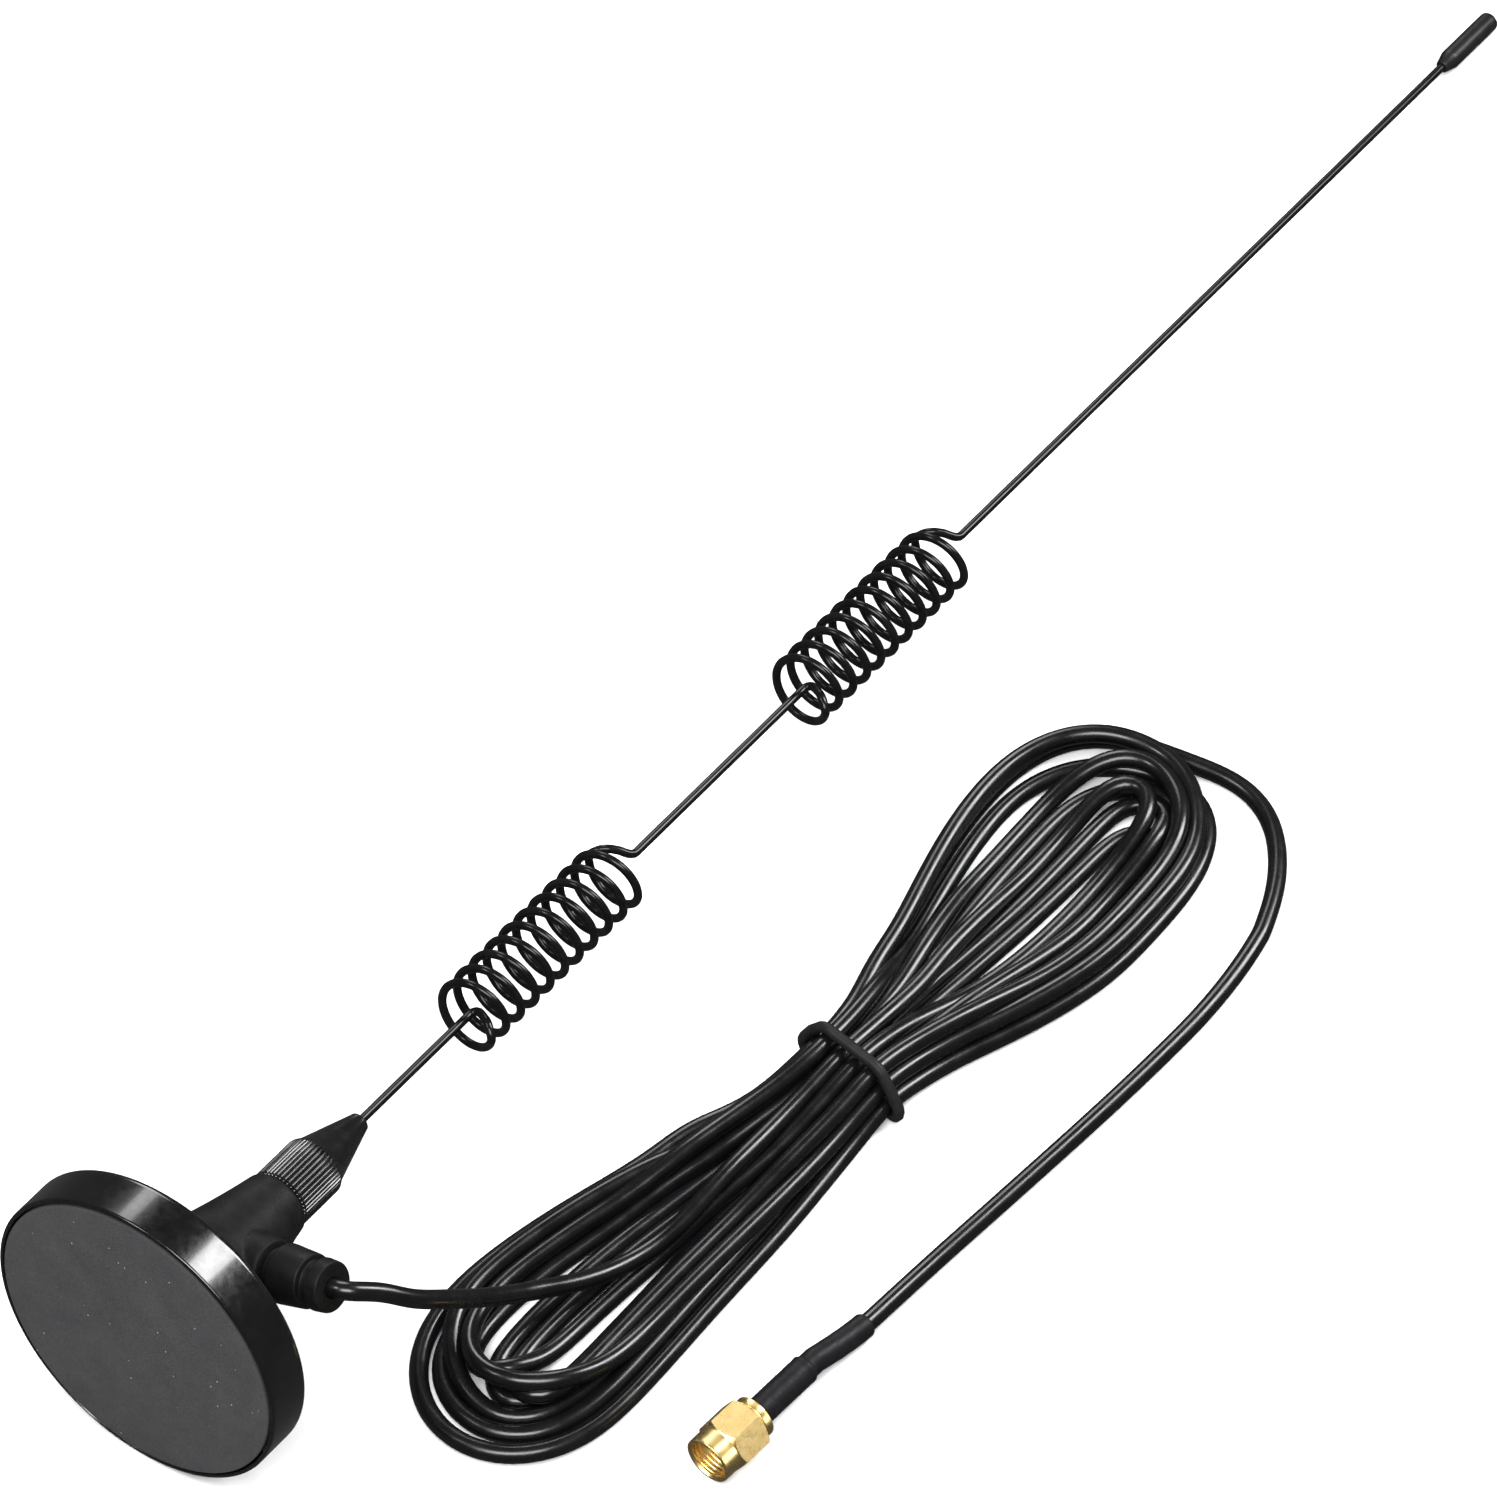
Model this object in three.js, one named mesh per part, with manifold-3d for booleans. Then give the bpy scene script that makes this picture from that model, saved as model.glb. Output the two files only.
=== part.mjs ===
// A magnetic-base whip antenna with its coiled feeder cable and SMA plug, lying on a table.
// Millimetres, +Z up. The table is Z = 0, the whip points along +Y and dips to the table at its tip.
// A station is a distance along the whip's axis from the underside of the magnetic base.
import * as THREE from 'three';
import { mergeVertices } from 'three/addons/utils/BufferGeometryUtils.js';
import Module from 'manifold-3d';

const wasm = await Module();
wasm.setup();

// Clearances
const GAP = 0.3; // between neighbouring pieces
const ROD_GAP = 0.15; // round the rod in its chuck and its tip cap

// Magnetic base
const CUP_R = 25;
const CUP_TOP = 8.2;
const CUP_LIP = 0.25; // the cup's rim stands this far above the pad's underside
const CUP_WALL = 0.7;
const CUP_EDGE = 1.2; // rounding of the top edge
const PAD_THICK = 0.9;
const MAGNET_TOP = 6.2;
const MAGNET_HOLE_R = 8;
const PLATE_THICK = 0.6;
const BASE_SCREW_R = 2.5;
const BASE_SCREW_HEAD_R = 4.6;
const BASE_SCREW_TOP = 15;

// Stem: its radius grows downwards from the top as a gentle flare
const STEM_TOP = 33.4;
const STEM_TOP_R = 5.25;
const STEM_SLOPE = 0.17;
const STEM_FLARE = 0.0033;
const STEM_NUT_R = 6;
const STEM_NUT_TOP = 14.2;
const CHAMBER_R = 5;
const CHAMBER_TOP = 24.3;
const BUSH_R = 3.3;
const STUD_R = 2.1;
const THREAD_R = 2.4;
const STUD_TOP = 39;

// Side boss and strain relief, radial to the whip's axis; distances are measured from that axis
const BOSS_STATION = 20.6;
const BOSS_RISE = THREE.MathUtils.degToRad(20); // above the table
const BOSS_END = 10;
const BOOT_END = 21;
const BOOT_END_R = 3.84;
const BOOT_TAPER = 0.0766; // radius lost for each millimetre outwards
const BOOT_GROOVES = [[10.3, 11.85], [17.25, 18.8]];
const BOOT_GROOVE_DEPTH = 1.05;

// Whip
const WIRE_R = 0.675;
const CHUCK_FOOT = STEM_TOP + GAP;
const CHUCK_R = 5;
const CHUCK_KNURL_TOP = 41.9;
const CHUCK_TEETH = 28;
const CHUCK_TOOTH_DEPTH = 0.35;
const CHUCK_CONE_FOOT = 43;
const CHUCK_CONE_R = 4.4;
const CHUCK_TOP = 52.8;
const CHUCK_TOP_R = 1.62;
const COIL_R = 5.2; // to the middle of the wire
const COIL_PITCH = 3.6;
const COIL_TURNS = 10.5;
const COIL_ENTRY_RUN = 4.05; // straight wire before the entry bend
const COIL_ENTRY_BACK = 2.6; // the wire slants back this far from the bend to the first turn
const COIL_EXIT_FORTH = 3.95; // and forward this far from the last turn to the exit bend
const COIL_EXIT_RUN = 1.65;
const LOWER_COIL_FOOT = 76.15;
const COIL_SPACING = 83.3;
const CAP_FOOT = 335.2;
const CAP_FOOT_R = 1.05;
const CAP_SHOULDER = 337.45;
const CAP_R = 1.65;
const CAP_EDGE = 0.9;
const WHIP_TOP = 349.4;
const ROD_TOP = 346.5;

// The antenna lies on the cup's edge and on the tip cap
const LEAN = Math.atan((CUP_R - CAP_R) / (WHIP_TOP - CAP_EDGE - CUP_TOP + CUP_EDGE));
const BASE_Y = -173.5; // the whole antenna is centred on Y = 0

// Feeder cable: RG174-class coax
const CABLE_R = 1.45;
const CABLE_SIDES = 8;
const HANK_LAYER = 5.9; // two layers of cable
const WAIST_TOP = 9; // three layers over the tie ring
const WAIST_Y = [-76, -43];
const TIE_Y = -60.6;
const TIE_R = 0.9;
const TIE_X = [34.3, 53.4];
const TIE_Z = [0.95, 10.3];
const TIE_CORNER = 3;

// SMA plug: its axis lies at half the nut's width above the table. Z runs from the flange's back face
// to the open front of the nut.
const PLUG_AT = [70, 54.8 + BASE_Y];
const PLUG_TURN = THREE.MathUtils.degToRad(-4.3);
const HEX_FLATS = 8;
const HEX_FRONT = 8;
const NUT_FRONT = 10.9;
const NUT_FRONT_R = 3.85;
const FLANGE_R = 3.45;
const FLANGE_THICK = 1.6;
const NECK_R = 2.45;
const SLEEVE_R = 2.3;
const REFERENCE_PLANE = 6.6;
const PIN_R = 0.46;
const PIN_TOP = 9;
const FERRULE_LENGTH = 10.5;
const SHRINK_THICK_R = 2.25;
const SHRINK_THIN_R = 1.95;
const SHRINK_STEP = 11.4; // behind the flange

const COLOURS = {
  glossBlack: { color: 0x0b0b0c, roughness: 0.15, metalness: 0.1 },
  matteBlack: { color: 0x17181a, roughness: 0.75, metalness: 0 },
  pad: { color: 0x4a4a4c, roughness: 0.9, metalness: 0 },
  jacket: { color: 0x0e0e0f, roughness: 0.3, metalness: 0 },
  rubber: { color: 0x1a1b1d, roughness: 0.7, metalness: 0 },
  steel: { color: 0xb9bbbe, roughness: 0.35, metalness: 1 },
  ferrite: { color: 0x3a3a3d, roughness: 0.8, metalness: 0.2 },
  gold: { color: 0xd8a83c, roughness: 0.25, metalness: 1 },
  white: { color: 0xf2f1ea, roughness: 0.5, metalness: 0 },
  gasket: { color: 0x9a3b26, roughness: 0.8, metalness: 0 },
};
const materials = Object.fromEntries(
  Object.entries(COLOURS).map(([name, look]) => [name, new THREE.MeshStandardMaterial(look)]),
);

// One closed body: shared vertices merged, no slivers, faces out.
function closed(geometry) {
  const bare = geometry.clone();
  bare.deleteAttribute('normal');
  bare.deleteAttribute('uv');
  const merged = mergeVertices(bare, 1e-4);
  const faces = [];
  const source = merged.getIndex().array;
  for (let i = 0; i < source.length; i += 3) {
    const [a, b, c] = [source[i], source[i + 1], source[i + 2]];
    if (a !== b && b !== c && c !== a) faces.push(a, b, c);
  }
  const inwards = volume(merged.getAttribute('position'), faces) < 0;
  if (inwards) faces.reverse();
  merged.setIndex(faces);
  merged.computeVertexNormals();
  return merged;
}

function volume(position, faces) {
  const corner = [new THREE.Vector3(), new THREE.Vector3(), new THREE.Vector3()];
  let sum = 0;
  for (let i = 0; i < faces.length; i += 3) {
    corner.forEach((point, k) => point.fromBufferAttribute(position, faces[i + k]));
    sum += corner[0].dot(corner[1].cross(corner[2])) / 6;
  }
  return sum;
}

// three.js geometry to a manifold solid and back.
function solid(geometry) {
  const body = closed(geometry);
  return new wasm.Manifold(new wasm.Mesh({
    numProp: 3,
    vertProperties: new Float32Array(body.getAttribute('position').array),
    triVerts: new Uint32Array(body.getIndex().array),
  }));
}

function geometryOf(manifold) {
  const mesh = manifold.getMesh();
  const geometry = new THREE.BufferGeometry();
  geometry.setAttribute('position', new THREE.BufferAttribute(new Float32Array(mesh.vertProperties), 3));
  geometry.setIndex(Array.from(mesh.triVerts));
  return geometry;
}

// Points of an arc in a profile, from angle a to angle b in degrees.
function arc(r, z, radius, a, b, steps) {
  const points = [];
  for (let i = 0; i <= steps; i += 1) {
    const angle = THREE.MathUtils.degToRad(a + ((b - a) * i) / steps);
    points.push([r + radius * Math.cos(angle), z + radius * Math.sin(angle)]);
  }
  return points;
}

// A body of revolution about Z from a profile of [radius, z] points.
function turned(profile, segments, closes = true) {
  const points = profile.map(([r, z]) => new THREE.Vector2(r, z));
  if (closes) points.push(points[0].clone());
  return new THREE.LatheGeometry(points, segments).rotateX(Math.PI / 2);
}

// A ring of rectangular section.
function ring(inner, outer, low, high, segments = 32) {
  return turned([[inner, low], [outer, low], [outer, high], [inner, high]], segments);
}

// A solid round bar whose profile starts and ends on the axis.
function bar(profile, segments = 24) {
  const low = profile[0][1];
  const high = profile[profile.length - 1][1];
  return turned([[0, low], ...profile, [0, high]], segments, false);
}

// A round wire or tube along a curve.
function wire(curve, radius, sides, steps) {
  const section = new THREE.Shape();
  for (let i = 0; i < sides; i += 1) {
    const angle = (2 * Math.PI * i) / sides;
    const [x, y] = [radius * Math.cos(angle), radius * Math.sin(angle)];
    if (i === 0) section.moveTo(x, y);
    else section.lineTo(x, y);
  }
  section.closePath();
  return new THREE.ExtrudeGeometry(section, { steps, extrudePath: curve, bevelEnabled: false });
}

function spline(points, isClosed = false) {
  return new THREE.CatmullRomCurve3(points.map((p) => new THREE.Vector3(...p)), isClosed, 'centripetal');
}

function piece(name, geometry, material) {
  const mesh = new THREE.Mesh(closed(geometry), materials[material]);
  mesh.name = name;
  return mesh;
}

// Magnetic base -----------------------------------------------------------------------------

function baseCup() {
  const inner = CUP_R - CUP_WALL;
  const lip = 0.4;
  const edge = CUP_TOP - CUP_EDGE;
  const profile = [
    ...arc(CUP_R - lip, CUP_LIP + lip, lip, -90, 0, 2),
    ...arc(CUP_R - CUP_EDGE, edge, CUP_EDGE, 0, 90, 4),
    [BASE_SCREW_R + GAP, CUP_TOP],
    [BASE_SCREW_R + GAP, CUP_TOP - CUP_WALL],
    [inner, CUP_TOP - CUP_WALL],
    [inner, CUP_LIP],
  ];
  return turned(profile, 48);
}

function basePad() {
  const radius = CUP_R - CUP_WALL - GAP;
  const bevel = 0.25;
  return bar([[radius - bevel, 0], [radius, bevel], [radius, PAD_THICK]], 48);
}

function baseScrew() {
  const neck = MAGNET_TOP;
  const head = 3.4;
  return bar([
    [BASE_SCREW_HEAD_R - 0.5, head],
    [BASE_SCREW_HEAD_R, head + 0.5],
    [BASE_SCREW_HEAD_R, neck],
    [BASE_SCREW_R, neck],
    [BASE_SCREW_R, BASE_SCREW_TOP],
  ]);
}

function magneticBase() {
  const group = new THREE.Group();
  const filling = CUP_R - CUP_WALL - GAP;
  const plate = MAGNET_TOP + GAP;
  group.add(
    piece('base_cup', baseCup(), 'glossBlack'),
    piece('base_pad', basePad(), 'pad'),
    piece('magnet_ring', ring(MAGNET_HOLE_R, filling, PAD_THICK + GAP, MAGNET_TOP, 36), 'ferrite'),
    piece('ground_plate', ring(BASE_SCREW_R + GAP, filling, plate, plate + PLATE_THICK, 36), 'steel'),
    piece('base_screw', baseScrew(), 'steel'),
  );
  return group;
}

// Stem and feed -----------------------------------------------------------------------------

function stemRadius(station) {
  const down = STEM_TOP - station;
  return STEM_TOP_R + STEM_SLOPE * down + STEM_FLARE * down * down;
}

// Turns a shape made along Z into one that leaves the whip's axis radially at the boss.
function alongBoss(geometry) {
  return geometry.rotateY(Math.PI / 2).rotateZ(-BOSS_RISE).translate(0, 0, BOSS_STATION);
}

function bootRadius(distance) {
  return BOOT_END_R + BOOT_TAPER * (BOOT_END - distance);
}

function stemHousing() {
  const foot = CUP_TOP + GAP;
  const edge = 0.4;
  const flare = [];
  for (let i = 0; i <= 8; i += 1) {
    const station = foot + ((STEM_TOP - edge - foot) * i) / 8;
    flare.push([stemRadius(station), station]);
  }
  const body = solid(bar([...flare, [STEM_TOP_R - edge, STEM_TOP]], 32));
  const boss = solid(alongBoss(bar([[bootRadius(0), 0], [bootRadius(BOSS_END), BOSS_END]], 24)));
  const hollow = solid(bar([
    [STEM_NUT_R + GAP, foot - 1],
    [STEM_NUT_R + GAP, STEM_NUT_TOP + GAP],
    [CHAMBER_R, STEM_NUT_TOP + GAP],
    [CHAMBER_R, CHAMBER_TOP],
    [BUSH_R + GAP, CHAMBER_TOP],
    [BUSH_R + GAP, STEM_TOP + 1],
  ], 24));
  const cableBore = solid(alongBoss(bar([[CABLE_R + GAP, 1], [CABLE_R + GAP, BOSS_END + 1]], 12)));
  return geometryOf(body.add(boss).subtract(hollow).subtract(cableBore));
}

function strainReliefBoot() {
  const outer = [];
  const start = BOOT_GROOVES[0][0];
  const neck = (distance) => bootRadius(distance) - BOOT_GROOVE_DEPTH;
  for (const [low, high] of BOOT_GROOVES) {
    if (low > start) outer.push([bootRadius(low), low]);
    outer.push([neck(low), low], [neck(high), high], [bootRadius(high), high]);
  }
  const edge = 0.3;
  outer.push([bootRadius(BOOT_END - edge), BOOT_END - edge], [BOOT_END_R - edge, BOOT_END]);
  const bore = CABLE_R + GAP;
  return alongBoss(turned([...outer, [bore, BOOT_END], [bore, start]], 24));
}

function contactStud() {
  const tail = 21;
  const collar = CHAMBER_TOP + GAP;
  return bar([
    [1, tail],
    [1, collar],
    [STUD_R, collar],
    [STUD_R, STEM_TOP + GAP],
    [THREAD_R, STEM_TOP + GAP],
    [THREAD_R, STUD_TOP - 0.5],
    [THREAD_R - 0.5, STUD_TOP],
  ], 24);
}

function stemAndFeed() {
  const group = new THREE.Group();
  const nut = ring(BASE_SCREW_R + GAP, STEM_NUT_R, CUP_TOP + 2 * GAP, STEM_NUT_TOP, 24);
  const entry = alongBoss(bar([[CABLE_R, 3.6], [CABLE_R, BOOT_END - GAP / 2]], 12));
  const seal = turned(arc(THREAD_R + GAP + 0.5, CHUCK_FOOT + 0.5, 0.5, 0, 315, 7), 24);
  group.add(
    piece('stem_nut', nut, 'steel'),
    piece('stem_housing', stemHousing(), 'matteBlack'),
    piece('strain_relief_boot', strainReliefBoot(), 'matteBlack'),
    piece('cable_entry', entry, 'jacket'),
    piece('insulator_bush', ring(STUD_R + GAP, BUSH_R, CHAMBER_TOP + GAP, STEM_TOP - 0.2, 24), 'white'),
    piece('contact_stud', contactStud(), 'gold'),
    piece('solder_lug', ring(1 + GAP, 2.6, 22.2, 23, 20), 'steel'),
    piece('seal_ring', seal, 'rubber'),
  );
  return group;
}

// Whip --------------------------------------------------------------------------------------

function whipChuck() {
  const bevel = 0.35;
  const counterbore = [4, 35];
  const threadTop = 40;
  const bore = WIRE_R + ROD_GAP;
  const segments = 2 * CHUCK_TEETH;
  const geometry = turned([
    [CHUCK_R - bevel, CHUCK_FOOT],
    [CHUCK_R, CHUCK_FOOT + bevel],
    [CHUCK_R, CHUCK_KNURL_TOP],
    [CHUCK_CONE_R, CHUCK_CONE_FOOT],
    [CHUCK_TOP_R, CHUCK_TOP - bevel],
    [CHUCK_TOP_R - bevel, CHUCK_TOP],
    [bore, CHUCK_TOP],
    [bore, threadTop],
    [THREAD_R + GAP, threadTop],
    [THREAD_R + GAP, counterbore[1]],
    [counterbore[0], counterbore[1]],
    [counterbore[0], CHUCK_FOOT],
  ], segments);
  // Straight knurl: every second line of the gripping band sinks by the tooth depth.
  const position = geometry.getAttribute('position');
  const point = new THREE.Vector3();
  for (let i = 0; i < position.count; i += 1) {
    point.fromBufferAttribute(position, i);
    const radius = Math.hypot(point.x, point.y);
    const line = Math.round((Math.atan2(point.y, point.x) * segments) / (2 * Math.PI));
    if (radius > CHUCK_R - 0.01 && line % 2 !== 0) {
      const scale = (CHUCK_R - CHUCK_TOOTH_DEPTH) / radius;
      position.setXY(i, point.x * scale, point.y * scale);
    }
  }
  return geometry;
}

function rod(low, high) {
  return bar([[WIRE_R, low], [WIRE_R, high]], 12);
}

// A phasing coil: up the axis, out at a bend, round the helix and back to the axis.
// It is right-handed and starts on the +X side.
function coil(foot) {
  const bend = foot + COIL_ENTRY_RUN;
  const first = bend - COIL_ENTRY_BACK;
  const last = first + COIL_TURNS * COIL_PITCH;
  const leave = last + COIL_EXIT_FORTH;
  const at = (radius, degrees, station) => {
    const angle = THREE.MathUtils.degToRad(degrees);
    return [radius * Math.cos(angle), radius * Math.sin(angle), station];
  };
  const points = [at(0, 0, foot), at(0, 0, bend - 1.6), at(0.05, -25, bend - 0.6), at(0.9, -25, bend - 0.05)];
  points.push(at(2.4, -22, bend - 0.7), at(3.9, -17, bend - 1.6));
  const perTurn = 12;
  const count = Math.round(COIL_TURNS * perTurn);
  for (let i = 0; i <= count; i += 1) {
    points.push(at(COIL_R, (360 * i) / perTurn, first + (COIL_PITCH * i) / perTurn));
  }
  points.push(at(3.9, 197, last + 1.3), at(2.2, 203, last + 2.7), at(0.7, 205, leave - 0.4));
  points.push(at(0.05, 205, leave + 0.4), at(0, 0, leave + COIL_EXIT_RUN));
  return wire(spline(points), WIRE_R, 6, 140);
}

function coilTop(foot) {
  const last = foot + COIL_ENTRY_RUN - COIL_ENTRY_BACK + COIL_TURNS * COIL_PITCH;
  return last + COIL_EXIT_FORTH + COIL_EXIT_RUN;
}

function tipCap() {
  const bore = WIRE_R + ROD_GAP;
  const profile = [
    [bore, CAP_FOOT],
    [CAP_FOOT_R, CAP_FOOT],
    [CAP_R, CAP_SHOULDER],
    ...arc(CAP_R - CAP_EDGE, WHIP_TOP - CAP_EDGE, CAP_EDGE, 0, 90, 4),
    [0, WHIP_TOP],
  ];
  return turned([[0, ROD_TOP + 0.5], [bore, ROD_TOP + 0.5], ...profile], 24, false);
}

function whip() {
  const group = new THREE.Group();
  const upperFoot = LOWER_COIL_FOOT + COIL_SPACING;
  group.add(
    piece('whip_chuck', whipChuck(), 'glossBlack'),
    piece('whip_rod_lower', rod(40.6, LOWER_COIL_FOOT - GAP), 'glossBlack'),
    piece('lower_coil', coil(LOWER_COIL_FOOT), 'glossBlack'),
    piece('whip_rod_middle', rod(coilTop(LOWER_COIL_FOOT) + GAP, upperFoot - GAP), 'glossBlack'),
    piece('upper_coil', coil(upperFoot), 'glossBlack'),
    piece('whip_rod_upper', rod(coilTop(upperFoot) + GAP, ROD_TOP), 'glossBlack'),
    piece('tip_cap', tipCap(), 'rubber'),
  );
  return group;
}

// Feeder cable, laid on the table -----------------------------------------------------------

// From the boot, over the lower end of the hank and into its waist.
const TAIL_ROUTE = [
  [25.1, -148.4, 29.4],
  [28.2, -144.4, 25.2],
  [30.2, -138.6, 20],
  [31.6, -132, 15.5],
  [33, -125, 11.6],
  [35.2, -117.5, 9.2],
  [37.8, -109.5, 8],
  [40, -101, 7.7],
  [41.4, -91, 7.7],
  [42.4, -76.4, 7.7],
];
// From the upper end of the hank, round a wide loop and back to the plug.
const LEAD_ROUTE = [
  [53.3, 21.2, 1.5],
  [57.8, 21.9, 1.5],
  [62.5, 20.8, 1.5],
  [66.9, 17.9, 1.5],
  [70.7, 13.5, 1.5],
  [73.8, 8.4, 1.5],
  [76, 3, 1.5],
  [77.4, -3, 1.5],
  [78.3, -10.5, 1.5],
  [78.6, -19, 1.5],
  [78.2, -28.5, 1.5],
  [77.5, -38.5, 1.5],
  [76.6, -48.6, 1.5],
  [75.6, -58.6, 1.5],
  [74.6, -68.4, 1.5],
  [73.6, -78, 1.5],
  [72.9, -86.5, 1.65],
  [72.35, -94.8, 2.05],
];
// The hank seen from above: a loop at each end and a waist under the tie ring.
const HANK_OUTLINE = [
  [35.5, -148], [26.5, -143.5], [21.2, -133.5], [20.2, -121.5], [22.6, -107.5], [27.6, -89.5],
  [32.4, -75.5], [35.6, -65], [35.8, -55], [34.1, -43.5], [31, -29.5], [28, -16.5], [26.4, -5.5],
  [27.4, 7.5], [32.2, 17], [41.5, 21.2], [51.6, 20.2], [60.6, 9.5], [65, -4.5], [64.5, -17.5],
  [60.4, -31.5], [55.6, -44.5], [52.3, -55.5], [51.3, -65.5], [50.2, -80.5], [50.6, -96.5],
  [52.4, -109.5], [52.8, -122.5], [50.2, -135.5], [44.3, -145],
];

function boss(distance) {
  const point = new THREE.Vector3(distance, 0, 0);
  point.applyAxisAngle(new THREE.Vector3(0, 0, 1), -BOSS_RISE);
  point.z += BOSS_STATION;
  return point;
}

function cableTail(antenna) {
  const start = boss(BOOT_END + GAP / 2).applyMatrix4(antenna.matrixWorld);
  const straight = boss(BOOT_END + 2.2).applyMatrix4(antenna.matrixWorld);
  const curve = spline([start.toArray(), straight.toArray(), ...TAIL_ROUTE]);
  return wire(curve, CABLE_R, CABLE_SIDES, 28);
}

function hankSlab(low, high) {
  const outline = spline(HANK_OUTLINE.map(([x, y]) => [x, y, 0]), true).getSpacedPoints(60);
  const bevel = 0.8;
  const slab = new THREE.ExtrudeGeometry(new THREE.Shape(outline.slice(0, -1)), {
    depth: high - low - 2 * bevel,
    bevelSize: bevel,
    bevelThickness: bevel,
    bevelOffset: -bevel,
    bevelSegments: 1,
  });
  return slab.translate(0, 0, low + bevel);
}

function block(x, y, z) {
  const box = new THREE.BoxGeometry(x[1] - x[0], y[1] - y[0], z[1] - z[0]);
  return box.translate((x[0] + x[1]) / 2, (y[0] + y[1]) / 2, (z[0] + z[1]) / 2);
}

// The tie ring stands across the hank: a rounded rectangle seen along Y, with its edges taken off.
function tieRing(radius) {
  const rounded = (shape, grow) => {
    const [x0, x1] = [TIE_X[0] - grow, TIE_X[1] + grow];
    const [z0, z1] = [TIE_Z[0] - grow, TIE_Z[1] + grow];
    const corner = TIE_CORNER + grow;
    const centres = [[x0 + corner, z0 + corner], [x1 - corner, z0 + corner], [x1 - corner, z1 - corner],
      [x0 + corner, z1 - corner]];
    const points = centres.flatMap(([x, z], i) => arc(x, z, corner, 180 + 90 * i, 270 + 90 * i, 3));
    shape.setFromPoints(points.map(([x, z]) => new THREE.Vector2(x, z)));
    return shape;
  };
  const bevel = 0.55 * radius;
  const shape = rounded(new THREE.Shape(), radius);
  shape.holes.push(rounded(new THREE.Path(), -radius));
  const band = new THREE.ExtrudeGeometry(shape, {
    depth: 2 * (radius - bevel),
    bevelSize: bevel,
    bevelThickness: bevel,
    bevelOffset: -bevel,
    bevelSegments: 1,
  });
  return band.translate(0, 0, bevel - radius).rotateX(Math.PI / 2).translate(0, TIE_Y, 0);
}

function cableHank() {
  const wide = solid(hankSlab(0, HANK_LAYER));
  const tall = solid(hankSlab(0, WAIST_TOP));
  const waist = tall.intersect(solid(block([20, 70], WAIST_Y, [-1, WAIST_TOP + 1])));
  const groove = solid(tieRing(TIE_R + GAP));
  const underRing = solid(block([20, 70], [TIE_Y - 1.3, TIE_Y + 1.3], [-1, TIE_Z[0] + TIE_R + GAP]));
  return geometryOf(wide.add(waist).subtract(groove).subtract(underRing));
}

function feederCable(antenna) {
  const group = new THREE.Group();
  group.add(
    piece('cable_tail', cableTail(antenna), 'jacket'),
    piece('cable_hank', cableHank(), 'jacket'),
    piece('cable_lead', wire(spline(LEAD_ROUTE), CABLE_R, CABLE_SIDES, 40), 'jacket'),
    piece('cable_tie_ring', tieRing(TIE_R), 'rubber'),
  );
  return group;
}

// SMA plug ----------------------------------------------------------------------------------

function hexPrism(flats, low, high) {
  const corner = flats / Math.sqrt(3);
  const outline = new THREE.Shape();
  for (let i = 0; i < 6; i += 1) {
    const angle = (i * Math.PI) / 3;
    const [x, y] = [corner * Math.cos(angle), corner * Math.sin(angle)];
    if (i === 0) outline.moveTo(x, y);
    else outline.lineTo(x, y);
  }
  outline.closePath();
  return new THREE.ExtrudeGeometry(outline, { depth: high - low, bevelEnabled: false }).translate(0, 0, low);
}

function couplingNut() {
  const back = FLANGE_THICK + GAP;
  const corner = HEX_FLATS / Math.sqrt(3);
  const bevel = 0.25;
  // The cone that takes the hexagon's corners down to the round front, and a chamfer at the back.
  const envelope = solid(bar([
    [corner - 0.7, back],
    [corner + 0.1, back + 0.45],
    [corner + 0.1, HEX_FRONT - 0.5],
    [NUT_FRONT_R, HEX_FRONT],
    [NUT_FRONT_R, NUT_FRONT - bevel],
    [NUT_FRONT_R - bevel, NUT_FRONT],
  ], 36));
  const front = solid(bar([[NUT_FRONT_R, HEX_FRONT - 1], [NUT_FRONT_R, NUT_FRONT + 1]], 36));
  const hex = solid(hexPrism(HEX_FLATS, back, HEX_FRONT));
  const ringGroove = 3.25;
  const thread = 3.1;
  const bore = solid(bar([
    [NECK_R + GAP, back - 1],
    [NECK_R + GAP, back + GAP],
    [ringGroove, back + GAP],
    [ringGroove, back + 1.2],
    [thread, back + 1.2],
    [thread, NUT_FRONT - 0.3],
    [thread + 0.3, NUT_FRONT],
    [thread + 0.3, NUT_FRONT + 1],
  ], 24));
  return geometryOf(hex.add(front).intersect(envelope).subtract(bore));
}

function plugBody() {
  const tailR = 1;
  const tail = -7;
  const tailBore = 0.55;
  const boreR = 2;
  const floor = 0.8;
  return turned([
    [tailR, tail],
    [tailR, 0],
    [FLANGE_R - 0.2, 0],
    [FLANGE_R, 0.2],
    [FLANGE_R, FLANGE_THICK - 0.2],
    [FLANGE_R - 0.2, FLANGE_THICK],
    [NECK_R, FLANGE_THICK],
    [NECK_R, FLANGE_THICK + 1.8],
    [SLEEVE_R, FLANGE_THICK + 1.8],
    [SLEEVE_R, REFERENCE_PLANE],
    [boreR, REFERENCE_PLANE],
    [boreR, floor],
    [tailBore, floor],
    [tailBore, tail],
  ], 24);
}

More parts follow.
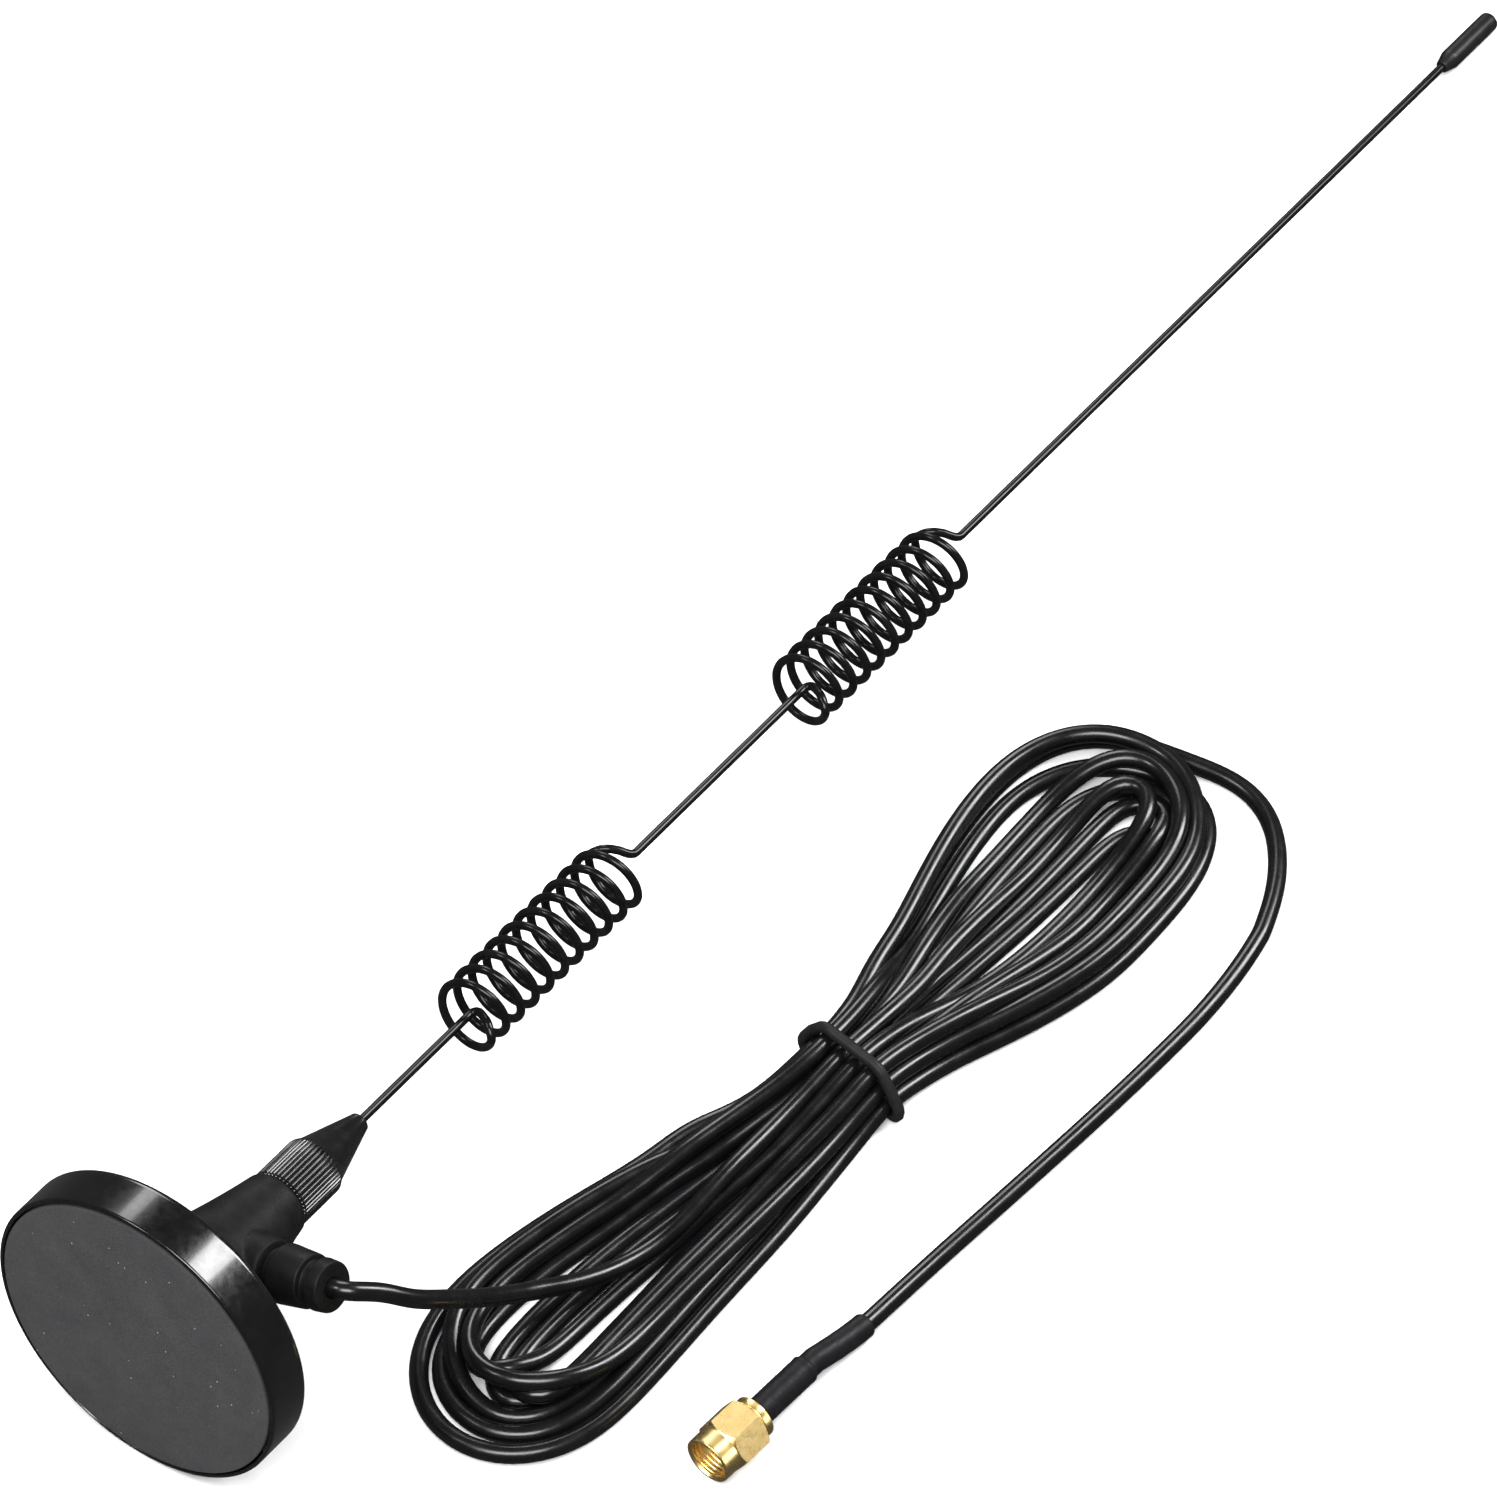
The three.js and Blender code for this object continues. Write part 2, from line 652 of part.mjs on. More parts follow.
function heatShrink(plug) {
  const ferruleBore = 1.6 + GAP;
  const straight = solid(bar([
    [SHRINK_THICK_R, GAP],
    [SHRINK_THICK_R, SHRINK_STEP - 0.4],
    [SHRINK_THIN_R, SHRINK_STEP + 0.5],
    [SHRINK_THIN_R, SHRINK_STEP + 1.5],
  ], 16).rotateX(Math.PI).applyMatrix4(plug.matrixWorld));
  const hollow = solid(bar([[ferruleBore, 0], [ferruleBore, FERRULE_LENGTH + 2 * GAP]], 16)
    .rotateX(Math.PI).applyMatrix4(plug.matrixWorld));
  const behind = (distance) => new THREE.Vector3(0, 0, -distance).applyMatrix4(plug.matrixWorld).toArray();
  const end = LEAD_ROUTE[LEAD_ROUTE.length - 1];
  const curve = spline([
    behind(SHRINK_STEP),
    behind(SHRINK_STEP + 1.6),
    [71.6, -101.8, 3.25],
    [72, -98.3, 2.5],
    [end[0] - 0.03, end[1] - GAP, end[2]],
  ]);
  return geometryOf(straight.add(solid(wire(curve, SHRINK_THIN_R, 16, 12))).subtract(hollow));
}

function plugPieces() {
  const group = new THREE.Group();
  const back = FLANGE_THICK + GAP;
  const pin = bar([
    [PIN_R, 1.1],
    [PIN_R, PIN_TOP - 0.4],
    [PIN_R - 0.25, PIN_TOP],
  ], 16);
  group.add(
    piece('crimp_ferrule', ring(1 + GAP, 1.6, -FERRULE_LENGTH - GAP, -GAP, 24), 'gold'),
    piece('sma_body', plugBody(), 'gold'),
    piece('sma_dielectric', ring(PIN_R + 0.24, 1.72, 1.1, REFERENCE_PLANE, 24), 'white'),
    piece('sma_center_pin', pin, 'gold'),
    piece('sma_snap_ring', ring(NECK_R + 0.2, 2.95, back + 2 * GAP, back + 0.95, 24), 'steel'),
    piece('sma_gasket', ring(SLEEVE_R + 0.2, 2.85, back + 1.8, back + 2.6, 24), 'gasket'),
    piece('sma_coupling_nut', couplingNut(), 'gold'),
  );
  return group;
}

// The whole object --------------------------------------------------------------------------

const model = new THREE.Group();

const antenna = new THREE.Group();
antenna.add(magneticBase(), stemAndFeed(), whip());
antenna.rotation.x = -Math.PI / 2 - LEAN;
antenna.position.y = BASE_Y;
// It stands on the table: its lowest point is at Z = 0.
antenna.position.z = -new THREE.Box3().setFromObject(antenna, true).min.z;
model.add(antenna);

const plug = new THREE.Group();
plug.add(plugPieces());
plug.rotation.set(Math.PI / 2, 0, PLUG_TURN, 'ZYX');
plug.position.set(PLUG_AT[0], PLUG_AT[1], HEX_FLATS / 2);
model.add(plug);

model.updateMatrixWorld(true);
model.add(feederCable(antenna), piece('heat_shrink_sleeve', heatShrink(plug), 'rubber'));
model.updateMatrixWorld(true);

export default model;
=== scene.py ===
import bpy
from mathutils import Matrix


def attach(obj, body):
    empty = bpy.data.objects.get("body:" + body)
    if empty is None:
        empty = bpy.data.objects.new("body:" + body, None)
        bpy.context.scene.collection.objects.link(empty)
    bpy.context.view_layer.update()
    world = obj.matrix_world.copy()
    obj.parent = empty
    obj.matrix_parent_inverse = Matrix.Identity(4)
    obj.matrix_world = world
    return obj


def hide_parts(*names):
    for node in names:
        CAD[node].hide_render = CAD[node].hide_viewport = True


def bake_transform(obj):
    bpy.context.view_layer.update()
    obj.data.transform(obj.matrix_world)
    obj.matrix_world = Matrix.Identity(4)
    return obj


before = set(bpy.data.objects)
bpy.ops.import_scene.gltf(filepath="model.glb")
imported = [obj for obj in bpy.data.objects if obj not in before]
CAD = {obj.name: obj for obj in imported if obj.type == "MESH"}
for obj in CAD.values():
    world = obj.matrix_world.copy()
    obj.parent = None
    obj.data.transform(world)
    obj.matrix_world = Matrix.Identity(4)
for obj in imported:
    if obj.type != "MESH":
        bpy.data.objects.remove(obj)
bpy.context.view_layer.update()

import math

import bmesh
import bpy
import numpy as np
from mathutils import Matrix, Vector

# Lengths in this script are in millimetres until a mesh is made, and metres from there on.
MM = 0.001

# Sizes that the CAD model also has ------------------------------------------------------------
CUP_R, CUP_TOP, CUP_LIP, CUP_WALL, CUP_EDGE = 25.0, 8.2, 0.25, 0.7, 1.2
PAD_R, PAD_THICK = 24.0, 0.9
SCREW_HOLE_R = 2.8
STEM_FOOT, STEM_TOP, STEM_TOP_R, STEM_SLOPE, STEM_FLARE = 8.5, 33.4, 5.25, 0.17, 0.0033
FOOT_BORE_R, CHAMBER_R, CHAMBER_FOOT, CHAMBER_TOP, NECK_BORE_R, BOSS_BORE_R = 6.3, 5, 14.5, 24.3, 3.6, 1.75
BOSS_STATION, BOSS_RISE, BOSS_END = 20.6, math.radians(20), 10.0
BOOT_END, BOOT_END_R, BOOT_TAPER = 21.0, 3.84, 0.0766
BOOT_GROOVES, BOOT_GROOVE_DEPTH = ((10.3, 11.85), (17.25, 18.8)), 1.05
CABLE_R = 1.45
WIRE_R = 0.675
CHUCK_FOOT, CHUCK_R, CHUCK_KNURL_TOP = 33.7, 5.0, 41.9
CHUCK_CONE_FOOT, CHUCK_CONE_R, CHUCK_TOP, CHUCK_TOP_R = 43.0, 4.4, 52.8, 1.62
COIL_R, COIL_PITCH, COIL_TURNS = 5.2, 3.6, 10.5
COIL_ENTRY_RUN, COIL_ENTRY_BACK, COIL_EXIT_FORTH, COIL_EXIT_RUN = 4.05, 2.6, 3.95, 1.65
COIL_LENGTH = COIL_ENTRY_RUN - COIL_ENTRY_BACK + COIL_TURNS * COIL_PITCH + COIL_EXIT_FORTH + COIL_EXIT_RUN
LOWER_COIL_FOOT, COIL_SPACING = 76.15, 83.3
UPPER_COIL_FOOT = LOWER_COIL_FOOT + COIL_SPACING
CAP_FOOT, CAP_FOOT_R, CAP_SHOULDER, CAP_R, CAP_EDGE, WHIP_TOP = 335.2, 1.05, 337.45, 1.65, 0.9, 349.4
BASE_Y = -173.5
BASE_Z = 25.41927
LEAN = math.atan((CUP_R - CAP_R) / (WHIP_TOP - CAP_EDGE - CUP_TOP + CUP_EDGE))
TIE_Y, TIE_R = -60.6, 0.9
PLUG_AT, PLUG_TURN = (70.0, -118.7, 4.0), math.radians(-4.3)
HEX_FLATS, HEX_FRONT, NUT_BACK, NUT_FRONT, NUT_FRONT_R = 8.0, 8.0, 1.9, 10.9, 3.85
FLANGE_R, FLANGE_THICK, NECK_R, SLEEVE_R, REFERENCE_PLANE = 3.45, 1.6, 2.45, 2.3, 6.6
PIN_R, PIN_TOP = 0.46, 9.0
SHRINK_THICK_R, SHRINK_THIN_R, SHRINK_STEP = 2.25, 1.95, 11.4

# The antenna's own frame: Z runs up the whip, X is the table's X, Y points down through the table.
ANTENNA = Matrix.Translation((0, BASE_Y, BASE_Z)) @ Matrix.Rotation(-math.pi / 2 - LEAN, 4, "X")
BOSS = ANTENNA @ Matrix.Translation((0, 0, BOSS_STATION)) @ Matrix.Rotation(-BOSS_RISE, 4, "Z") \
    @ Matrix.Rotation(math.pi / 2, 4, "Y")
PLUG = Matrix.Translation(PLUG_AT) @ Matrix.Rotation(PLUG_TURN, 4, "Z") \
    @ Matrix.Rotation(math.pi / 2, 4, "X")


# Camera ---------------------------------------------------------------------------------------

def look_at(made, target, azimuth, elevation, distance):
    """Puts a camera or light round its target and turns it there. Azimuth 0 is the -Y side, 90 the +X."""
    a, e = math.radians(azimuth), math.radians(elevation)
    back = Vector((math.sin(a) * math.cos(e), -math.cos(a) * math.cos(e), math.sin(e)))
    bpy.context.scene.collection.objects.link(made)
    made.location = Vector(target) + back * distance
    made.rotation_mode = "QUATERNION"
    made.rotation_quaternion = (-back).to_track_quat("-Z", "Y")


def studio_camera():
    target, distance = Vector((-6.82, -16.15, 0)) * MM, 1.7458
    data = bpy.data.cameras.new("camera")
    data.lens, data.sensor_width = 276.55, 36.0
    data.clip_start, data.clip_end = 0.1, 50.0
    camera = bpy.data.objects.new("camera", data)
    look_at(camera, target, 36.33, 50.45, distance)
    bpy.context.scene.camera = camera


studio_camera()


# Cable ----------------------------------------------------------------------------------------
# One cord: from the boot over the lower lobe of the hank into its tie ring, seven turns between the
# two lobes, and out from under the upper lobe round a wide loop to the plug.

TAIL_ROUTE = (
    (25.1, -148.4, 29.9), (28.2, -144.4, 26.5), (30.2, -138.6, 21.8), (31.8, -132.0, 16.4),
    (33.6, -125.4, 12.0), (36.1, -118.8, 9.2), (38.7, -110.8, 8.0), (40.8, -102.0, 7.7),
    (41.6, -91.5, 7.8),
)
LEAD_ROUTE = (
    (28.3, 1.0, 1.45), (29.0, 7.0, 1.45), (31.0, 12.0, 1.45), (34.2, 15.9, 1.45),
    (38.1, 18.0, 1.45), (42.0, 19.0, 1.45), (45.6, 19.5, 1.45), (49.4, 20.2, 1.45),
    (53.3, 21.2, 1.45), (57.8, 21.9, 1.45), (62.5, 20.8, 1.45), (66.9, 17.9, 1.45),
    (70.7, 13.5, 1.45), (73.8, 8.4, 1.45), (76.0, 3.0, 1.45), (77.4, -3.0, 1.45),
    (78.3, -10.5, 1.45), (78.6, -19.0, 1.45), (78.2, -28.5, 1.45), (77.5, -38.5, 1.45),
    (76.6, -48.6, 1.45), (75.6, -58.6, 1.45), (74.6, -68.4, 1.45), (73.6, -78.0, 1.45),
    (72.9, -86.5, 1.65), (72.35, -94.8, 2.05), (72.0, -98.3, 2.5), (71.6, -101.8, 3.25),
)

# The hank is laid loop by loop and then settles. Each turn has an upper and a lower loop: the x of
# its left and right legs, the x and y of its far end, and the heights of left leg, far end and right
# leg: on the table, on one strand, or on two.
ONE, TWO, THREE = 1.45, 4.2, 7.0
HANK_TURNS = (
    ((42.2, 52.0, 46.9, 11.8, TWO, TWO, TWO), (27.8, 38.8, 33.2, -137.0, ONE, TWO, ONE)),
    ((36.6, 59.0, 46.8, 16.3, ONE, TWO, TWO), (35.3, 45.4, 40.6, -137.2, ONE, TWO, TWO)),
    ((48.6, 57.9, 53.4, 6.8, ONE, ONE, ONE), (32.4, 43.5, 38.2, -138.0, ONE, ONE, ONE)),
    ((45.5, 55.4, 50.6, 12.2, ONE, TWO, TWO), (22.8, 46.4, 36.0, -140.6, TWO, TWO, ONE)),
    ((39.6, 60.4, 50.0, 13.0, ONE, ONE, ONE), (23.7, 49.3, 37.2, -143.6, ONE, ONE, ONE)),
    ((28.2, 62.0, 43.0, 18.1, TWO, TWO, TWO), (25.2, 47.8, 35.6, -138.0, TWO, THREE, TWO)),
    ((31.5, 63.3, 49.8, 16.2, ONE, ONE, ONE), (20.4, 52.4, 36.8, -147.3, ONE, ONE, ONE)),
)
LEAD_X = 28.2
# In the tie ring the strands lie in three rows: the distance from the ring's middle, and the row.
RING_X, RING_ROWS, RING_REACH = 43.85, (3.3, 5.75, 8.2), 7.2
RING_Y, RING_SKEW = TIE_Y + 1.0, 0.13
LEFT_LANES = ((-1.45, 2), (-2.9, 1), (0.0, 1), (-1.45, 0), (-4.3, 0), (-5.75, 1), (-4.3, 2),
              (-7.0, 0))
RIGHT_LANES = ((1.45, 2), (4.3, 2), (1.45, 0), (2.9, 1), (4.3, 0), (5.75, 1), (7.0, 0))
LOW_Y, HIGH_Y = -124.0, -4.0
# How far above and below the ring the strands have come down from its rows.
DOWN_ABOVE, DOWN_BELOW = 30, 36
# How the cable settles: its fall in a round, first and last, its resistance to bending and to
# stretching, its pull back to where it was laid, and how hard touching strands push apart.
FALL, LAST_FALL, BENDING, STRETCHING, HOMING, PUSHING, PUSH_GAIN = 0.035, 0.01, 0.25, 0.25, 0.05, 0.42, 1.5


def ease(t):
    t = np.clip(t, 0, 1)
    return t * t * (3 - 2 * t)


def strand(side, low, lane, high):
    """Points every 2 mm up one strand, side -1 on the left and 1 on the right of the hank.

    low and high are its x and height at the two lobes, lane its place in the tie ring. Strands on the
    left run down to the lower lobe straighter than those on the right, the outer ones most.
    """
    y = np.arange(LOW_Y if low else TIE_Y - 12, HIGH_Y + 1, 2.0)
    ring_x, ring_z = RING_X + lane[0], RING_ROWS[lane[1]]
    low_x, low_z = low or (ring_x, ring_z)
    open_from, open_by, shut_from = (TIE_Y + 2, HIGH_Y + 2, -122) if side < 0 else (TIE_Y, -16, -124)
    opened = ease((y - open_from) / (open_by - open_from))
    down = np.clip((TIE_Y - 1 - y) / (TIE_Y - 1 - shut_from), 0, 1)
    if side > 0:
        shut = ease(down)
    elif low_x < 30:
        shut = (down + ease(down)) / 2
    else:
        shut = (3 * down - down**2 + ease(down)) / 3
    x = np.where(y > TIE_Y, ring_x + (high[0] - ring_x) * opened, ring_x + (low_x - ring_x) * shut)
    z = np.where(y > TIE_Y, ring_z + (high[1] - ring_z) * ease((y - TIE_Y) / DOWN_ABOVE),
                 ring_z + (low_z - ring_z) * ease((TIE_Y - y) / DOWN_BELOW))
    return np.c_[x, y, z]


def fold(start, end, y, far_x, far_y, heights):
    """From x = start to x = end round a far point: two straight legs and half an ellipse."""
    middle, radius = (start + end) / 2, (start - end) / 2
    side = 1 if far_y > y else -1
    reach = min(abs(far_y - y), abs(radius) + (3 if abs(radius) > 9 else 0))
    base = far_y - side * reach
    leg = np.arange(y + side * 2, base - side * 0.5, side * 2.0)
    count = max(8, int((abs(radius) + reach) * math.pi / 4))
    angle = np.linspace(0, math.pi, count + 2)[1:-1]
    bulge = np.sin(angle)
    half = angle / (math.pi / 2)
    z = np.where(half < 1, heights[0] + (heights[1] - heights[0]) * ease(half),
                 heights[1] + (heights[2] - heights[1]) * ease(half - 1))
    x = middle + radius * np.cos(angle) + (far_x - middle) * bulge**2
    return np.concatenate([
        np.c_[np.full(leg.shape, start), leg, np.full(leg.shape, heights[0])],
        np.c_[x, base + side * reach * bulge, z],
        np.c_[np.full(leg.shape, end), leg[::-1], np.full(leg.shape, heights[2])]])


def cable_route():
    head = [BOSS @ Vector((0, 0, d)) for d in (16.5, 19, BOOT_END, BOOT_END + 2.2)]
    pieces = [np.array([list(p) for p in head]), np.array(TAIL_ROUTE)]
    low = None
    for (upper, lower), left_lane, right_lane in zip(HANK_TURNS, LEFT_LANES, RIGHT_LANES):
        left, right, far_x, far_y, *heights = upper
        pieces.append(strand(-1, low, left_lane, (left, heights[0])))
        pieces.append(fold(left, right, HIGH_Y, far_x, far_y, heights))
        low_left, low_right, low_far_x, low_far_y, *low_heights = lower
        pieces.append(strand(1, (low_right, low_heights[2]), right_lane, (right, heights[2]))[::-1])
        pieces.append(fold(low_right, low_left, LOW_Y, low_far_x, low_far_y, low_heights[::-1]))
        low = (low_left, low_heights[0])
    pieces.append(strand(-1, low, LEFT_LANES[-1], (LEAD_X, CABLE_R)))
    plug_end = [PLUG @ Vector((0, 0, -d)) for d in (SHRINK_STEP + 1.6, SHRINK_STEP, 6, 1)]
    pieces += [np.array(LEAD_ROUTE), np.array([list(p) for p in plug_end])]
    return np.concatenate(pieces)


def evenly(points, spacing):
    """Points at an even spacing along a smooth curve through the given ones."""
    fine = []
    last = len(points) - 1
    for i in range(last):
        before = points[i - 1] if i else 2 * points[0] - points[1]
        after = points[i + 2] if i + 2 <= last else 2 * points[-1] - points[-2]
        start, end = points[i], points[i + 1]
        span = np.linalg.norm(end - start)
        slopes = []
        for slope in ((end - before) / 2, (after - start) / 2):
            size = np.linalg.norm(slope)
            slopes.append(slope * min(1, span / size) if size else slope)
        t = np.linspace(0, 1, 9)[:-1, None]
        fine.append((2 * t**3 - 3 * t**2 + 1) * start + (t**3 - 2 * t**2 + t) * slopes[0]
                    + (3 * t**2 - 2 * t**3) * end + (t**3 - t**2) * slopes[1])
    fine = np.concatenate(fine + [points[-1:]])
    run = np.r_[0, np.cumsum(np.linalg.norm(np.diff(fine, axis=0), axis=1))]
    at = np.linspace(0, run[-1], int(round(run[-1] / spacing)) + 1)
    return np.stack([np.interp(at, run, fine[:, k]) for k in range(3)], axis=1)


def settle(p, rounds=300, head=24, tail=60):
    """Lets the cable's points fall, and pushes strands apart that lie closer than a diameter."""
    gap = 2 * CABLE_R
    rest = np.linalg.norm(np.diff(p, axis=0), axis=1).mean()
    home = p.copy()
    free = np.ones((len(p), 1))
    free[:head] = 0
    free[-tail:] = 0
    for turn in range(rounds):
        if turn % 8 == 0:
            square = (p**2).sum(1)
            apart = square[:, None] + square[None, :] - 2 * p @ p.T
            i, j = np.nonzero(np.triu(apart < (gap * 1.7) ** 2, 5))
        p[:, 2] -= free[:, 0] * (FALL if turn < rounds * 0.6 else LAST_FALL)
        p[1:-1] += BENDING * ((p[:-2] + p[2:]) / 2 - p[1:-1]) * free[1:-1]
        p[:, :2] += HOMING * (home[:, :2] - p[:, :2]) * free
        step = p[1:] - p[:-1]
        length = np.linalg.norm(step, axis=1)
        pull = (STRETCHING * (length - rest) / length)[:, None] * step
        p[:-1] += pull * free[:-1]
        p[1:] -= pull * free[1:]
        for _ in range(2):
            between = p[j] - p[i]
            distance = np.linalg.norm(between, axis=1)
            hit = distance < gap
            push = between[hit] * (PUSHING * (gap / np.maximum(distance[hit], 1e-6) - 1))[:, None]
            shift, count = np.zeros_like(p), np.zeros((len(p), 1))
            np.add.at(shift, i[hit], -push)
            np.add.at(shift, j[hit], push)
            np.add.at(count, i[hit], 1)
            np.add.at(count, j[hit], 1)
            p += shift / np.maximum(count, 1) * PUSH_GAIN * free
        ringed = (np.abs(p[:, 1] - TIE_Y) < 1.6) & (np.abs(p[:, 0] - RING_X) < 12)
        p[ringed, 2] = np.clip(p[ringed, 2], RING_ROWS[0], RING_ROWS[2] + 0.2)
        p[ringed, 0] = np.clip(p[ringed, 0], RING_X - RING_REACH, RING_X + RING_REACH)
        p[:, 2] = np.maximum(p[:, 2], CABLE_R)
    for _ in range(5):
        p[1:-1] += 0.5 * ((p[:-2] + p[2:]) / 2 - p[1:-1]) * free[1:-1]
    return p


def feeder_cable():
    points = settle(evenly(cable_route(), 2.0))
    points = evenly(points, 1.25)
    data = bpy.data.curves.new("feeder_cable", "CURVE")
    data.dimensions = "3D"
    spline = data.splines.new("POLY")
    spline.points.add(len(points) - 1)
    flat = np.c_[points * MM, np.ones(len(points))].ravel()
    spline.points.foreach_set("co", flat)
    spline.use_smooth = True
    data.bevel_depth = CABLE_R * MM
    data.bevel_resolution = 8
    data.use_fill_caps = True
    cable = bpy.data.objects.new("feeder_cable", data)
    bpy.context.scene.collection.objects.link(cable)
    length = float(np.linalg.norm(np.diff(points, axis=0), axis=1).sum()) * MM
    return cable, points, length


CABLE, CABLE_POINTS, CABLE_LENGTH = feeder_cable()


# Mesh helpers ---------------------------------------------------------------------------------

def add_mesh(name, vertices, faces, matrix=None, sharp=35):
    """A mesh object at the origin from points in millimetres, smooth except at sharp edges."""
    points = [matrix @ Vector(v) if matrix else Vector(v) for v in vertices]
    data = bpy.data.meshes.new(name)
    data.from_pydata([tuple(p * MM) for p in points], [], faces)
    work = bmesh.new()
    work.from_mesh(data)
    bmesh.ops.recalc_face_normals(work, faces=work.faces)
    if work.calc_volume(signed=True) < 0:
        bmesh.ops.reverse_faces(work, faces=work.faces)
    work.to_mesh(data)
    work.free()
    data.polygons.foreach_set("use_smooth", [True] * len(data.polygons))
    data.set_sharp_from_angle(angle=math.radians(sharp))
    made = bpy.data.objects.new(name, data)
    bpy.context.scene.collection.objects.link(made)
    return made


def arc(r, z, radius, start, end, steps):
    """Profile points round a fillet, from one angle to another in degrees."""
    angles = [math.radians(start + (end - start) * i / steps) for i in range(steps + 1)]
    return [(r + radius * math.cos(a), z + radius * math.sin(a)) for a in angles]


def soften(profile, radius, steps=3):
    """A closed profile with each corner rounded to about the given radius."""
    soft = []
    count = len(profile)
    for i, point in enumerate(profile):
        here = np.array(point, float)
        back = np.array(profile[i - 1], float) - here
        on = np.array(profile[(i + 1) % count], float) - here
        back_length, on_length = np.linalg.norm(back), np.linalg.norm(on)
        reach = min(radius, 0.4 * back_length, 0.4 * on_length)
        start, end = here + back / back_length * reach, here + on / on_length * reach
        for k in range(steps + 1):
            t = k / steps
            soft.append(tuple((1 - t) ** 2 * start + 2 * t * (1 - t) * here + t**2 * end))
    return soft


def turned(profile, segments, shape=None):
    """The points of a profile turned about Z. shape(radius, z, angle) may move the radius."""
    vertices = []
    for s in range(segments):
        angle = 2 * math.pi * s / segments
        for r, z in profile:
            radius = shape(r, z, angle) if shape else r
            vertices.append((radius * math.cos(angle), radius * math.sin(angle), z))
    return vertices


def revolve(profile, segments, shape=None):
    """Vertices and faces of a closed profile turned about Z."""
    vertices, faces = turned(profile, segments, shape), []
    count = len(profile)
    for s in range(segments):
        a, b = s * count, (s + 1) % segments * count
        for i in range(count):
            j = (i + 1) % count
            faces.append((a + i, b + i, b + j, a + j))
    return vertices, faces


def revolve_bar(profile, segments):
    """As revolve, for a solid bar: the profile is open, and its two ends are closed to the axis."""
    vertices, faces = turned(profile, segments), []
    count = len(profile)
    low, high = len(vertices), len(vertices) + 1
    vertices += [(0, 0, profile[0][1]), (0, 0, profile[-1][1])]
    for s in range(segments):
        a, b = s * count, (s + 1) % segments * count
        faces.append((low, b, a))
        faces.append((high, a + count - 1, b + count - 1))
        for i in range(count - 1):
            faces.append((a + i, b + i, b + i + 1, a + i + 1))
    return vertices, faces


def sweep(path, radius, sides, is_closed=False, shape=None):
    """Vertices and faces of a round bar along a path. shape(index, angle) may change the radius."""
    path = np.asarray(path, float)
    if is_closed:
        along = np.roll(path, -1, axis=0) - np.roll(path, 1, axis=0)
    else:
        along = np.gradient(path, axis=0)
    along /= np.linalg.norm(along, axis=1)[:, None]
    across = np.cross(along[0], (0, 0, 1) if abs(along[0][2]) < 0.9 else (1, 0, 0))
    vertices, faces = [], []
    count = len(path)
    for i in range(count):
        across = across - along[i] * (across @ along[i])
        across /= np.linalg.norm(across)
        other = np.cross(along[i], across)
        for s in range(sides):
            angle = 2 * math.pi * s / sides
            r = shape(i, angle) if shape else radius
            vertices.append(tuple(path[i] + r * (math.cos(angle) * across + math.sin(angle) * other)))
    for i in range(count if is_closed else count - 1):
        a, b = i * sides, (i + 1) % count * sides
        for s in range(sides):
            t = (s + 1) % sides
            faces.append((a + s, a + t, b + t, b + s))
    if not is_closed:
        faces.append(tuple(range(sides))[::-1])
        faces.append(tuple(range((count - 1) * sides, count * sides)))
    return vertices, faces


# Materials ------------------------------------------------------------------------------------

